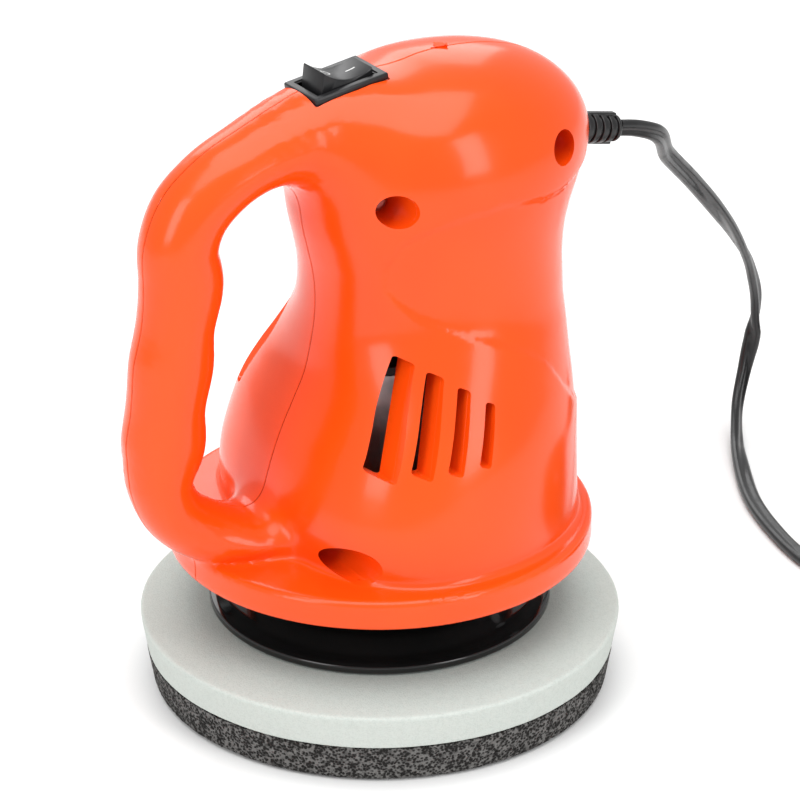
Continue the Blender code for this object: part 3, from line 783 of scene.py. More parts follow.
    def settle(self, p: np.ndarray, rounds: int = 4) -> np.ndarray:
        """Move points onto the surface.

        Args:
            p: Points near the surface.
            rounds: Newton steps.

        Returns:
            The points on the surface.
        """
        nudge = 0.08
        for _ in range(rounds):
            value = self.distance(p)
            slope = np.stack([self.distance(p + nudge * axis) - value for axis in np.eye(3)], 1) / nudge
            size = np.maximum((slope ** 2).sum(axis=1), 0.05)
            move = slope * (value / size)[:, None]
            length = np.linalg.norm(move, axis=1)
            p = p - move * np.minimum(1.0, 1.5 / np.maximum(length, 1e-9))[:, None]
        return p


@dataclass
class Shells:
    """The two moulded half shells, cut from one smooth form."""

    form: ShellForm = field(default_factory=ShellForm)
    voxel: float = 1.0
    wall: float = 2.4
    joint_gap: float = 0.11
    joint_round: float = 0.3
    underside_radius: float = 52.2
    recess_seat: float = 13.0
    sleeve_wall: float = 1.5
    collar_depth: float = 6.0
    # top x, top z, bottom x, bottom z, width of each vent slot
    vents: tuple[tuple[float, ...], ...] = (
        (-9.1, 100.6, -21.6, 74.9, 4.7), (-3.9, 97.6, -13.9, 75.8, 4.1),
        (1.4, 94.3, -6.3, 75.9, 3.5), (6.9, 90.5, 1.7, 76.4, 3.0),
    )
    # x, z and radius of each screw recess
    recesses: tuple[Point, ...] = ((-9.9, 139.2, 4.3), (36.7, 147.0, 4.3), (-28.2, 52.1, 4.3))
    switch_seat: Point = (-12.2, 166.6, 8.5)
    switch_bed: Point = (21.5, 15.5, 8.0)
    switch_well: Point = (19.2, 13.2, 26.0)
    relief_seat: Point = (55.6, 139.6, -12.0)
    relief_bore: float = 4.35

    def build(self) -> None:
        """Make both halves and dress them."""
        whole = self._outer()
        for name, side in (("shell_near", -1.0), ("shell_far", 1.0)):
            node = "shell_right" if side < 0 else "shell_left"
            mesh = self._half(name, whole, side)
            for cutter in self._cutters(side):
                mesh = Maker.cut(mesh, cutter)
            parts = [mesh]
            if side < 0:
                parts += [self._sleeve(*spot) for spot in self.recesses]
                parts += [self._collar(vent) for vent in self.vents]
            Maker.piece(name, Maker.joined(name, parts), Finish.SHELL, "housing", node, crease=38.0)

    def _rough(self) -> bpy.types.Mesh:
        """Body, handle and foot as simple solids that overlap."""
        form = self.form
        rings = []
        for z, centre, front, rear, half, _ in form.sections[:-1]:
            ring = []
            for i in range(48):
                turn = 2.0 * math.pi * i / 48
                reach = rear if math.cos(turn) > 0 else front
                ring.append((centre + reach * math.cos(turn), half * math.sin(turn), z))
            rings.append(ring)
        body = Maker.skin("rough_body", rings)
        links = []
        for index, (x, z, thick, wide) in enumerate(form.handle):
            before = form.handle[max(index - 1, 0)]
            after = form.handle[min(index + 1, len(form.handle) - 1)]
            run = Vector((after[0] - before[0], after[1] - before[1])).normalized()
            turns = np.linspace(0.0, 2.0 * math.pi, 24, endpoint=False)
            links.append([(x - run.y * thick * math.cos(a), wide * math.sin(a),
                           z + run.x * thick * math.cos(a)) for a in turns])
        grip = Maker.skin("rough_grip", links)
        low, high, radius = form.flange_low, form.flange_high, form.flange_radius
        foot = Maker.lathe("rough_foot", [(0.0, low), (radius, low), (radius, high), (0.0, high)], 96)
        return Maker.joined("rough", [body, grip, foot])

    def _outer(self) -> bpy.types.Mesh:
        """The outer surface of both shells, with even faces laid on the form."""
        obj = bpy.data.objects.new("rough", self._rough())
        bpy.context.scene.collection.objects.link(obj)
        remesh = obj.modifiers.new("even", "REMESH")
        remesh.mode = "VOXEL"
        remesh.voxel_size = self.voxel * MM
        bpy.context.view_layer.update()
        graph = bpy.context.evaluated_depsgraph_get()
        mesh = bpy.data.meshes.new_from_object(obj.evaluated_get(graph))
        bpy.data.objects.remove(obj, do_unlink=True)
        points = np.zeros(len(mesh.vertices) * 3)
        mesh.vertices.foreach_get("co", points)
        points = self.form.settle(points.reshape(-1, 3) / MM, 5)
        edges = np.zeros(len(mesh.edges) * 2, int)
        mesh.edges.foreach_get("vertices", edges)
        edges = edges.reshape(-1, 2)
        for _ in range(3):
            points = self.form.settle(self._relaxed(points, edges), 1)
        points = self.form.crowned(self.form.settle(points, 2))
        mesh.vertices.foreach_set("co", (points * MM).ravel())
        mesh.update()
        return mesh

    @staticmethod
    def _relaxed(points: np.ndarray, edges: np.ndarray) -> np.ndarray:
        """Each point moved half way to the middle of its neighbours."""
        total, count = np.zeros_like(points), np.zeros(len(points))
        for a, b in ((0, 1), (1, 0)):
            np.add.at(total, edges[:, a], points[edges[:, b]])
            np.add.at(count, edges[:, a], 1.0)
        return 0.5 * points + 0.5 * total / np.maximum(count, 1.0)[:, None]

    def _half(self, name: str, whole: bpy.types.Mesh, side: float) -> bpy.types.Mesh:
        """One half with a softened joint edge and its wall thickness.

        Args:
            name: The mesh's name.
            whole: The outer surface of both halves.
            side: -1 for the near half and 1 for the far half.

        Returns:
            The half shell.
        """
        work = bmesh.new()
        work.from_mesh(whole)
        low, reach = (self.form.flange_low + 0.5) * MM, self.underside_radius * MM
        under = [f for f in work.faces if f.calc_center_median().z < low
                 and f.calc_center_median().xy.length < reach]
        bmesh.ops.delete(work, geom=under, context="FACES")
        bmesh.ops.bisect_plane(work, geom=work.verts[:] + work.edges[:] + work.faces[:],
                               plane_co=(0.0, side * self.joint_round * MM, 0.0),
                               plane_no=(0.0, -side, 0.0), clear_outer=True)
        at_joint = [e for e in work.edges if e.is_boundary
                    and all(abs(v.co.y) < (self.joint_round + 0.02) * MM for v in e.verts)]
        made = bmesh.ops.extrude_edge_only(work, edges=at_joint)["geom"]
        rim = [v for v in made if isinstance(v, bmesh.types.BMVert)]
        spots = np.array([v.co for v in rim]) / MM
        nudge = 0.05
        value = self.form.distance(spots)
        slope = np.stack([self.form.distance(spots + nudge * axis) - value for axis in np.eye(3)], 1)
        slope[:, 1] = 0.0
        slope /= np.maximum(np.linalg.norm(slope, axis=1), 1e-6)[:, None]
        spots -= slope * (self.joint_round - self.joint_gap)
        spots[:, 1] = side * self.joint_gap
        for vertex, spot in zip(rim, spots):
            vertex.co = Vector(spot) * MM
        bmesh.ops.recalc_face_normals(work, faces=work.faces)
        mesh = bpy.data.meshes.new(name)
        work.to_mesh(mesh)
        work.free()
        return self._thickened(mesh)

    def _thickened(self, mesh: bpy.types.Mesh) -> bpy.types.Mesh:
        """A surface given the wall's thickness on its inner side."""
        obj = bpy.data.objects.new("wall", mesh)
        bpy.context.scene.collection.objects.link(obj)
        wall = obj.modifiers.new("wall", "SOLIDIFY")
        wall.thickness = self.wall * MM
        wall.offset = -1.0
        bpy.context.view_layer.update()
        graph = bpy.context.evaluated_depsgraph_get()
        result = bpy.data.meshes.new_from_object(obj.evaluated_get(graph))
        bpy.data.objects.remove(obj, do_unlink=True)
        return result

    def _cutters(self, side: float) -> list[bpy.types.Mesh]:
        """What is taken out of one half, one closed shape at a time."""
        shapes = [self._slot(vent, side) for vent in self.vents]
        if side < 0:
            shapes += [self._drill(*spot) for spot in self.recesses]
        x, z, tilt = self.switch_seat
        seat = Matrix.Translation(Vector((x, 0.0, z)) * MM) @ Matrix.Rotation(math.radians(-tilt), 4, "Y")
        bed = Maker.soft_box("bed", self.switch_bed, 0.5, (0.0, 0.0, 1.7))
        well = Maker.soft_box("well", self.switch_well, 0.4, (0.0, 0.0, -13.0))
        for box in (bed, well):
            box.transform(seat)
        x, z, tilt = self.relief_seat
        bore = self.relief_bore
        hole = Maker.lathe("hole", [(0.0, -8.0), (bore, -8.0), (bore, 14.0), (0.0, 14.0)], 48)
        hole.transform(Lead.axis_at(x, z, tilt))
        return [*shapes, hole, bed, well]

    @staticmethod
    def _slot_outline(vent: Sequence[float], grow: float = 0.0) -> list[Vector]:
        """Outline of a vent with rounded corners, wider at its foot.

        Args:
            vent: One row of the vents table.
            grow: How far outside the slot the outline runs.

        Returns:
            Points in x and z.
        """
        top_x, top_z, low_x, low_z, width = vent
        middle = Vector(((top_x + low_x) / 2.0, (top_z + low_z) / 2.0))
        run = Vector((top_x - low_x, top_z - low_z))
        half, run, radius = run.length / 2.0 + grow, run.normalized(), 0.8 + grow
        across = Vector((-run.y, run.x))
        outline = []
        for first, end, flank in ((0, 1.0, 1.0), (90, -1.0, 1.0), (180, -1.0, -1.0), (270, 1.0, -1.0)):
            wide = width * (0.43 if end > 0 else 0.54) + grow - radius
            centre = middle + run * (end * (half - radius)) + across * (flank * wide)
            for step in range(5):
                turn = math.radians(first + 22.5 * step)
                outline.append(centre + run * (radius * math.cos(turn)) + across * (radius * math.sin(turn)))
        return outline

    def _slot(self, vent: Sequence[float], side: float) -> bpy.types.Mesh:
        """A slanted slot through one wall."""
        rings = [[(p.x, side * y, p.y) for p in self._slot_outline(vent)] for y in (6.0, 60.0)]
        return Maker.skin("slot", rings)

    def _collar(self, vent: Sequence[float]) -> bpy.types.Mesh:
        """The raised rim round a vent on the near shell's inner side."""
        rings = []
        for grow, inward in ((1.1, self.collar_depth), (1.1, 0.0), (-0.04, 0.0), (-0.04, self.collar_depth),
                             (1.1, self.collar_depth)):
            spots = np.array([(p.x, 0.0, p.y) for p in self._slot_outline(vent, grow)])
            spots[:, 1] = self._inside_wall(spots) + inward
            rings.append(spots.tolist())
        return Maker.skin("collar", rings, capped=False)

    def _drill(self, x: float, z: float, radius: float) -> bpy.types.Mesh:
        """A round cutter from the screw's seat out through the near wall."""
        drill = Maker.lathe("drill", [(0.0, self.recess_seat), (radius, self.recess_seat),
                                      (radius, 60.0), (0.0, 60.0)], 56)
        drill.transform(self._facing(x, z))
        return drill

    @staticmethod
    def _facing(x: float, z: float) -> Matrix:
        """Turns a shape made along Z to run from the joint plane towards the near side."""
        return Matrix.Translation(Vector((x, 0.0, z)) * MM) @ Matrix.Rotation(math.radians(90.0), 4, "X")

    def _sleeve(self, x: float, z: float, radius: float) -> bpy.types.Mesh:
        """The cup inside a recess, whose rim ends within the wall.

        Args:
            x: The recess's place along the tool.
            z: Its height.
            radius: Its radius.

        Returns:
            The cup.
        """
        inner, outer, sides = radius - 0.04, radius + self.sleeve_wall, 56
        turns = np.linspace(0.0, 2.0 * math.pi, sides, endpoint=False)
        rings = []
        for reach, depth in ((outer, self.recess_seat - 1.6), (outer, None), (inner, None),
                             (inner, self.recess_seat), (1.6, self.recess_seat)):
            spots = np.stack([x + reach * np.cos(turns), np.full(sides, -(depth or 0.0)),
                              z + reach * np.sin(turns)], 1)
            if depth is None:
                spots[:, 1] = self._inside_wall(spots)
            rings.append(spots.tolist())
        return Maker.skin("sleeve", rings, capped=False)

    def _inside_wall(self, spots: np.ndarray) -> np.ndarray:
        """Where a line across the tool at each spot meets the middle of the near wall."""
        low, high = np.full(len(spots), self.recess_seat), np.full(len(spots), 58.0)
        for _ in range(24):
            middle = (low + high) / 2.0
            trial = spots.copy()
            trial[:, 1] = -middle
            inside = self.form.distance(trial) < -0.5 * self.wall
            low, high = np.where(inside, middle, low), np.where(inside, high, middle)
        return -low


# ----------------------------------------------------------------- pad and plate


@dataclass
class Pad:
    """The backing plate and the two foam layers bonded to it."""

    foot_radius: float = 59.3
    middle_radius: float = 61.0
    top_radius: float = 62.5
    split: float = 10.4
    edge: float = 20.0
    crown: float = 21.4
    plate_radius: float = 44.4
    plate_low: float = 21.7
    plate_high: float = 31.0

    def build(self) -> None:
        """Make the plate and both foams."""
        plate = self._plate()
        Maker.piece("plate_disc", plate, Finish.PLATE, "spindle", "backing_plate", crease=50.0)
        white = self._foam("foam_pale", self._white_profile(), 0.45, 0.05, 0.12)
        Maker.piece("foam_pale_layer", white, Finish.FOAM_WHITE, "spindle", "foam_upper",
                              crease=70.0)
        grey = self._foam("foam_dark", self._grey_profile(), 0.9, 0.3, 0.05)
        Maker.piece("foam_dark_layer", grey, Finish.FOAM_GREY, "spindle", "foam_lower",
                              crease=80.0)

    def _plate(self) -> bpy.types.Mesh:
        """The dished black disc, with a lip at its rim and a ring under the hub."""
        z, r = self.plate_low, self.plate_radius
        corners = [(7.6, z, 0.0), (r - 0.6, z, 0.4), (r, z + 0.6, 0.4), (r, z + 2.2, 0.5),
                   (r - 1.4, z + 2.7, 0.4), (r - 4.6, z + 2.9, 1.2), (r - 9.0, z + 6.4, 1.6),
                   (r - 11.5, z + 6.7, 0.5), (r - 12.0, z + 6.2, 0.3), (r - 14.0, z + 6.2, 0.3),
                   (r - 14.5, z + 6.9, 0.5), (18.0, z + 7.4, 1.0), (14.0, self.plate_high, 0.8),
                   (2.8, self.plate_high, 0.0), (2.8, z + 3.6, 0.0), (7.6, z + 3.6, 0.0)]
        return Maker.lathe("plate", Maker.rounded(corners), 192, closed=True)

    def _white_profile(self) -> list[tuple[float, float]]:
        """Outline of the pale layer, from its underside round to its top."""
        low = self.split + 0.05
        return Maker.rounded([(0.0, low, 0.0), (self.middle_radius - 0.1, low, 0.5),
                              (self.top_radius, self.edge - 0.2, 1.1),
                              (self.plate_radius + 4.0, self.crown - 0.1, 4.0),
                              (self.plate_radius - 1.5, self.crown, 0.5), (0.0, self.crown, 0.0)])

    def _grey_profile(self) -> list[tuple[float, float]]:
        """Outline of the dark layer, from its working face round to its top."""
        return Maker.rounded([(0.0, 0.25, 0.0), (self.foot_radius, 0.25, 1.6),
                              (self.middle_radius, self.split - 0.1, 0.4), (0.0, self.split - 0.1, 0.0)])

    @staticmethod
    def _foam(name: str, profile: Sequence[tuple[float, float]], cell: float, pit: float,
              swell: float) -> bpy.types.Mesh:
        """A turned foam block with its cut cells in the surface.

        Args:
            name: The mesh's name.
            profile: The block's outline.
            cell: Size of the cells.
            pit: Depth of the open cells.
            swell: Height of the slow unevenness.

        Returns:
            The foam block.
        """
        fine: list[tuple[float, float]] = []
        for (r0, z0), (r1, z1) in zip(profile, profile[1:]):
            outer = max(r0, r1) > 40.0
            parts = max(1, math.ceil(math.hypot(r1 - r0, z1 - z0) / (0.75 if outer else 4.0)))
            fine += [(r0 + (r1 - r0) * k / parts, z0 + (z1 - z0) * k / parts) for k in range(parts)]
        fine.append(profile[-1])
        mesh = Maker.lathe(name, fine, 460)
        spots = np.array([vertex.co for vertex in mesh.vertices])
        normals = np.array([vertex.normal for vertex in mesh.vertices])
        for index in np.flatnonzero(np.hypot(spots[:, 0], spots[:, 1]) > 30.0 * MM):
            spot = Vector(spots[index]) / MM
            open_cell = max(0.0, noise.noise(spot / cell)) * pit * 2.0
            slow = noise.noise(spot / 17.0) * swell
            spots[index] += normals[index] * ((slow - open_cell) * MM)
        mesh.vertices.foreach_set("co", spots.ravel())
        mesh.update()
        return mesh


# ---------------------------------------------------------------------- switch


@dataclass
class Switch:
    """The rocker switch sunk in the head: frame, dished rocker and its two marks."""

    centre_x: float = -12.2
    centre_z: float = 166.6
    tilt: float = 8.5
    length: float = 21.0
    width: float = 15.0
    frame_depth: float = 1.8
    well_length: float = 16.4
    well_width: float = 10.4
    rest_tilt: float = 13.0
    pivot_z: float = -2.0
    rocker_half: float = 7.3
    rocker_wide: float = 4.85
    rocker_foot: float = -3.0
    rocker_shoulder: float = 4.55
    dish_half: float = 6.9
    dish_floor: float = 2.9
    dish_rise: float = 2.15
    case_size: Point = (18.6, 12.6, 12.0)
    bar_ends: tuple[float, float] = (2.2, 4.8)
    bar_half_width: float = 0.21
    ring_place: float = -3.6
    ring_radii: tuple[float, float] = (0.95, 1.3)
    mark_lift: float = 0.03
    mark_sink: float = 0.05

    def build(self) -> None:
        """Make the frame, the rocker and the marks."""
        seat = (Matrix.Translation(Vector((self.centre_x, 0.0, self.centre_z)) * MM)
                @ Matrix.Rotation(math.radians(-self.tilt), 4, "Y"))
        frame = self._frame()
        frame.transform(seat)
        Maker.piece("switch_frame", frame, Finish.SWITCH, "housing", "switch_housing", crease=40.0)
        own = (seat @ Matrix.Translation((0.0, 0.0, self.pivot_z * MM))
               @ Matrix.Rotation(math.radians(self.rest_tilt), 4, "Y"))
        rocker = self._rocker()
        rocker.transform(own)
        Maker.piece("switch_rocker_cap", rocker, Finish.SWITCH, "rocker", "switch_rocker", crease=32.0)
        for name, mark in (("mark_on", self._bar()), ("mark_off", self._ring())):
            mark.transform(own)
            Maker.piece(name, mark, Finish.MARK, "rocker")

    def _frame(self) -> bpy.types.Mesh:
        """The switch's frame and case, with the rocker's well cut into it."""
        rim = Maker.soft_box("rim", (self.length, self.width, self.frame_depth), 0.45,
                             (0.0, 0.0, -self.frame_depth / 2.0))
        case = Maker.soft_box("case", self.case_size, 0.3, (0.0, 0.0, -6.6))
        well = Maker.soft_box("well", (self.well_length, self.well_width, 11.0), 0.35, (0.0, 0.0, -3.9))
        mouth = Maker.soft_box("mouth", (self.well_length + 1.0, self.well_width + 1.0, 2.0), 0.45,
                               (0.0, 0.0, 0.55))
        parts = [Maker.cut(Maker.cut(part, well), mouth) for part in (rim, case)]
        return Maker.joined("frame", parts)

    def _dish(self, x: float) -> float:
        """Height of the rocker's dished top at a place along it."""
        return self.dish_floor + self.dish_rise * (x / self.dish_half) ** 2

    def _rocker(self) -> bpy.types.Mesh:
        """The rocker: a dished top, leaning ends and softened edges."""
        xs = [self.dish_half * math.sin(math.radians(a)) for a in np.linspace(-90.0, 90.0, 29)]
        top = [(x, self._dish(x)) for x in xs]
        rings = []
        for y, pull in ((-self.rocker_wide, 0.35), (-self.rocker_wide + 0.12, 0.12),
                        (-self.rocker_wide + 0.4, 0.0), (self.rocker_wide - 0.4, 0.0),
                        (self.rocker_wide - 0.12, 0.12), (self.rocker_wide, 0.35)):
            shrink = 1.0 - pull / self.rocker_half
            ring = [(x * shrink, y, z - pull) for x, z in top]
            foot, shoulder = self.rocker_foot, self.rocker_shoulder
            ring += [(7.02 * shrink, y, shoulder), (self.rocker_half * shrink, y, foot + 0.4),
                     ((self.rocker_half - 0.4) * shrink, y, foot),
                     (-(self.rocker_half - 0.4) * shrink, y, foot),
                     (-self.rocker_half * shrink, y, foot + 0.4), (-7.02 * shrink, y, shoulder)]
            rings.append(ring)
        return Maker.skin("rocker", rings)

    def _bar(self) -> bpy.types.Mesh:
        """The printed bar of the on mark, laid on the dish."""
        half, rings = self.bar_half_width, []
        for x in np.linspace(*self.bar_ends, 9):
            low, high = self._dish(x) - self.mark_sink, self._dish(x) + self.mark_lift
            rings.append([(x, -half, low), (x, half, low), (x, half, high), (x, -half, high)])
        return Maker.skin("bar", rings)

    def _ring(self) -> bpy.types.Mesh:
        """The printed ring of the off mark, laid on the dish."""
        points, faces, sides = [], [], 40
        for i in range(sides):
            turn = 2.0 * math.pi * i / sides
            inner, outer = self.ring_radii
            low, high = -self.mark_sink, self.mark_lift
            for radius, lift in ((inner, low), (outer, low), (outer, high), (inner, high)):
                x, y = self.ring_place + radius * math.cos(turn), radius * math.sin(turn)
                points.append((x, y, self._dish(x) + lift))
        for i in range(sides):
            j = (i + 1) % sides
            for k in range(4):
                m = (k + 1) % 4
                faces.append((i * 4 + k, i * 4 + m, j * 4 + m, j * 4 + k))
        return Maker.mesh("ring", points, faces)


# ------------------------------------------------------------------------ lead


@dataclass
class Lead:
    """The flat twin lead from strain relief to plug, its coil, tie, relief and plug."""

    width: float = 5.0
    core_radius: float = 1.32
    relief: Point = (55.6, 139.6, -12.0)
    relief_length: float = 17.0
    coil_centre: tuple[float, float] = (166.0, -48.0)
    coil_radius: float = 30.0
    coil_low: float = 1.2
    pitch: float = 5.2
    columns: int = 4
    settle_drop: float = 1.15
    step: float = 1.7
    plug: Point = (213.8, -4.8, 10.4)
    plug_turn: float = -12.0
    plug_length: float = 62.0
    tie_angle: float = 255.0
    shift_turn: float = 28.0
    leave_angle: float = 315.0
    first_roll: float = 62.0
    # each roll of the flat lead in degrees, with where it starts and ends along the lead
    rolls: tuple[Point, ...] = ((-172.0, 55.0, 175.0), (-70.0, 195.0, 235.0), (-90.0, 270.0, 320.0))
    # the lead's run from the relief to the coil
    route: tuple[Point, ...] = (
        (72.8, 0.0, 135.9), (77.1, 0.1, 135.0), (83.5, 1.2, 132.6), (101.3, 16.1, 117.0),
        (118.8, 28.0, 102.0), (134.9, 38.0, 87.0), (153.9, 51.3, 68.0), (167.1, 61.2, 52.0),
        (173.5, 66.2, 39.0), (174.2, 67.9, 27.5), (171.7, 67.8, 17.0), (166.5, 63.9, 9.0),
        (158.9, 54.1, 4.4), (149.0, 38.6, 2.6), (138.4, 18.7, 2.6), (132.9, 2.3, 2.6),
        (129.5, -13.4, 2.6), (128.6, -22.6, 3.0),
    )
    # the lead's run from the coil to the plug
    tail: tuple[Point, ...] = (
        (207.4, -35.0, 3.0), (208.9, -28.2, 3.6), (210.3, -21.3, 5.6), (211.8, -14.5, 8.6),
        (213.1, -8.1, 10.1), (213.7, -5.4, 10.4),
    )
    # column and layer that each turn lies in, from the outer bottom one
    berths: tuple[tuple[int, int], ...] = (
        (0, 0), (1, 0), (2, 0), (3, 0), (3, 1), (3, 2), (2, 2), (2, 1), (1, 1), (1, 2), (0, 2), (0, 1),
    )

    @staticmethod
    def axis_at(x: float, z: float, tilt: float) -> Matrix:
        """Turns a shape made along Z onto the strain relief's axis."""
        return (Matrix.Translation(Vector((x, 0.0, z)) * MM)
                @ Matrix.Rotation(math.radians(-tilt), 4, "Y")
                @ Matrix.Rotation(math.radians(90.0), 4, "Y"))

    def build(self) -> None:
        """Make the lead and the pieces on it."""
        line = self._line()
        mesh = self._tube(line)
        cord = Maker.piece("lead", mesh, Finish.CORD, "housing", "cord", "cord_coil", "cord_tail",
                           crease=60.0)
        relief = self._relief()
        Maker.piece("lead_relief", relief, Finish.CORD, "housing", "strain_relief", crease=35.0)
        tie = Maker.piece("lead_tie", self._tie(), Finish.BLACK, "housing", "cord_tie")
        plug, tip = self._plug()

    def _coil_line(self) -> np.ndarray:
        """Centre line of the coil's turns, each in a berth of its own."""
        berths = np.asarray(self.berths, float)
        last = len(berths) - 1
        ends = np.array([360.0 * (k + 1) - self.shift_turn * (k + 1) for k in range(last)])
        leave = self.leave_angle - 180.0
        while leave < ends[-1]:
            leave += 360.0
        turned = np.arange(4.0, leave, 3.2)
        place = np.zeros((len(turned), 2))
        for k in range(last):
            share = ease(turned, ends[k] - self.shift_turn, ends[k])[:, None]
            place += (berths[k + 1] - berths[k]) * share
        outer = self.coil_radius + self.pitch * (self.columns - 1) / 2.0
        radius = outer - self.pitch * place[:, 0]
        angle = np.radians(180.0 + turned)
        from_tie = np.abs((180.0 + turned - self.tie_angle + 180.0) % 360.0 - 180.0)
        sag = self.settle_drop * ease(from_tie, 12.0, 55.0)
        height = self.coil_low + self.pitch * (0.5 + place[:, 1]) - sag
        return np.stack([self.coil_centre[0] + radius * np.cos(angle),
                         self.coil_centre[1] + radius * np.sin(angle), height], 1)

    def _leaving(self, start: np.ndarray) -> list[list[float]]:
        """Points that bring the last turn down outside the coil to the tail."""
        radius = math.hypot(start[0] - self.coil_centre[0], start[1] - self.coil_centre[1])
        low = self.coil_low + self.pitch * 0.5 - self.settle_drop
        points = []
        for angle, swing in ((-30.0, 28.0), (-15.0, 62.0), (0.0, 86.0)):
            roll = math.radians(swing)
            reach = radius + self.pitch * math.sin(roll)
            turn = math.radians(angle)
            points.append([self.coil_centre[0] + reach * math.cos(turn),
                           self.coil_centre[1] + reach * math.sin(turn),
                           low + self.pitch * math.cos(roll)])
        return points

    def _line(self) -> np.ndarray:
        """The whole centre line at even steps, in millimetres."""
        run = np.asarray(self.route, float)
        run[:, 2] -= self.settle_drop * ease(-run[:, 2], -14.0, -4.0)
        coil = self._coil_line()
        tail = np.asarray(self.tail, float)
        rough = np.vstack([run, coil, self._leaving(coil[-1]), tail])
        walk = np.r_[0.0, np.cumsum(np.linalg.norm(np.diff(rough, axis=0), axis=1))]
        fine = np.linspace(0.0, walk[-1], round(walk[-1] / self.step))
        line = np.stack([smooth_table(fine, walk, rough[:, k]) for k in range(3)], 1)
        half = self.width / 2.0 - self.core_radius
        reach = self.core_radius + half * np.abs(np.sin(np.radians(self._twist(fine))))
        line[:, 2] = np.maximum(line[:, 2], reach + 0.1)
        return line

    def _twist(self, walk: np.ndarray) -> np.ndarray:
        """How far the flat lead has rolled about its own line, in degrees."""
        roll = np.full(len(walk), self.first_roll)
        for degrees, start, end in self.rolls:
            roll = roll + degrees * ease(walk, start, end)
        return roll

    def _tube(self, line: np.ndarray) -> bpy.types.Mesh:
        """The twin lead's skin: two round cores side by side, joined by a web."""
        aim = np.gradient(line, axis=0)
        aim /= np.linalg.norm(aim, axis=1)[:, None]
        walk = np.r_[0.0, np.cumsum(np.linalg.norm(np.diff(line, axis=0), axis=1))]
        roll = np.radians(self._twist(walk))
        offset = self.width / 2.0 - self.core_radius
        outline = []
        for side in (1.0, -1.0):
            for a in np.linspace(-126.0, 126.0, 10):
                turn = math.radians(a)
                outline.append((side * (offset + self.core_radius * math.cos(turn)),
                                side * self.core_radius * math.sin(turn)))
        across, up = np.array(outline).T
        rings = []
        flat = np.array([0.0, 0.0, 1.0])
        for point, direction, angle in zip(line, aim, roll):
            right = np.cross(direction, flat)
            right /= max(np.linalg.norm(right), 1e-6)
            over = np.cross(right, direction)
            u = right * math.cos(angle) + over * math.sin(angle)
            v = over * math.cos(angle) - right * math.sin(angle)
            rings.append(point + across[:, None] * u + up[:, None] * v)
        return Maker.skin("lead", [ring.tolist() for ring in rings])

    def _relief(self) -> bpy.types.Mesh:
        """The tapered sleeve with its flexing ribs."""
        corners: list[Point] = [(0.0, -5.0, 0.0), (6.4, -5.0, 0.4), (6.4, -3.4, 0.4), (4.0, -3.4, 0.2),
                                (4.0, 2.6, 0.2)]
        for i in range(5):
            low, radius = 2.6 + 2.55 * i, 4.4 - 0.16 * i
            corners += [(radius, low, 0.3), (radius, low + 1.6, 0.3), (radius - 0.85, low + 1.7, 0.15),
                        (radius - 0.85, low + 2.5, 0.15)]
        corners += [(3.6, 15.4, 0.3), (3.5, self.relief_length - 0.6, 0.8), (2.4, self.relief_length, 0.4),
                    (0.0, self.relief_length, 0.0)]
        body = Maker.lathe("relief", Maker.rounded(corners, 3), 64)
        spines = [Maker.soft_box("spine", (1.7, 2.0, 13.0), 0.3, (side * 3.35, 0.0, 9.0)) for side in (1, -1)]
        mesh = Maker.joined("relief", [body, *spines])
        mesh.transform(self.axis_at(*self.relief))
        return mesh

    def _tie(self) -> bpy.types.Mesh:
        """A soft strap once round the coil's cross section, with a lapped end on top."""
        half, low, high = self.pitch * self.columns / 2.0 + 0.7, 0.45, self.coil_low + 3 * self.pitch + 0.7
        strips = []
        for grow, span in ((0.0, 360), (0.9, 95)):
            path = []
            for a in range(0, span + 1, 5):
                turn = math.radians(a - (0 if span == 360 else -45))
                c, s = math.cos(turn), math.sin(turn)
                x = math.copysign(abs(c) ** 0.35, c) * (half + grow)
                z = (low + high) / 2.0 + math.copysign(abs(s) ** 0.35, s) * ((high - low) / 2.0 + grow)
                path.append((x, z))
            rings = []
            for x, z in path:
                away = Vector((x, z - (low + high) / 2.0)).normalized() * 0.4
                rings.append([(self.coil_radius + x - away.x, -5.5, z - away.y),
                              (self.coil_radius + x + away.x, -5.2, z + away.y),
                              (self.coil_radius + x + away.x, 5.2, z + away.y),
                              (self.coil_radius + x - away.x, 5.5, z - away.y)])
            strips.append(Maker.skin("strap", rings))
        mesh = Maker.joined("tie", strips)
        mesh.transform(Matrix.Translation(Vector((*self.coil_centre, 0.0)) * MM)
                       @ Matrix.Rotation(math.radians(self.tie_angle), 4, "Z"))
        return mesh

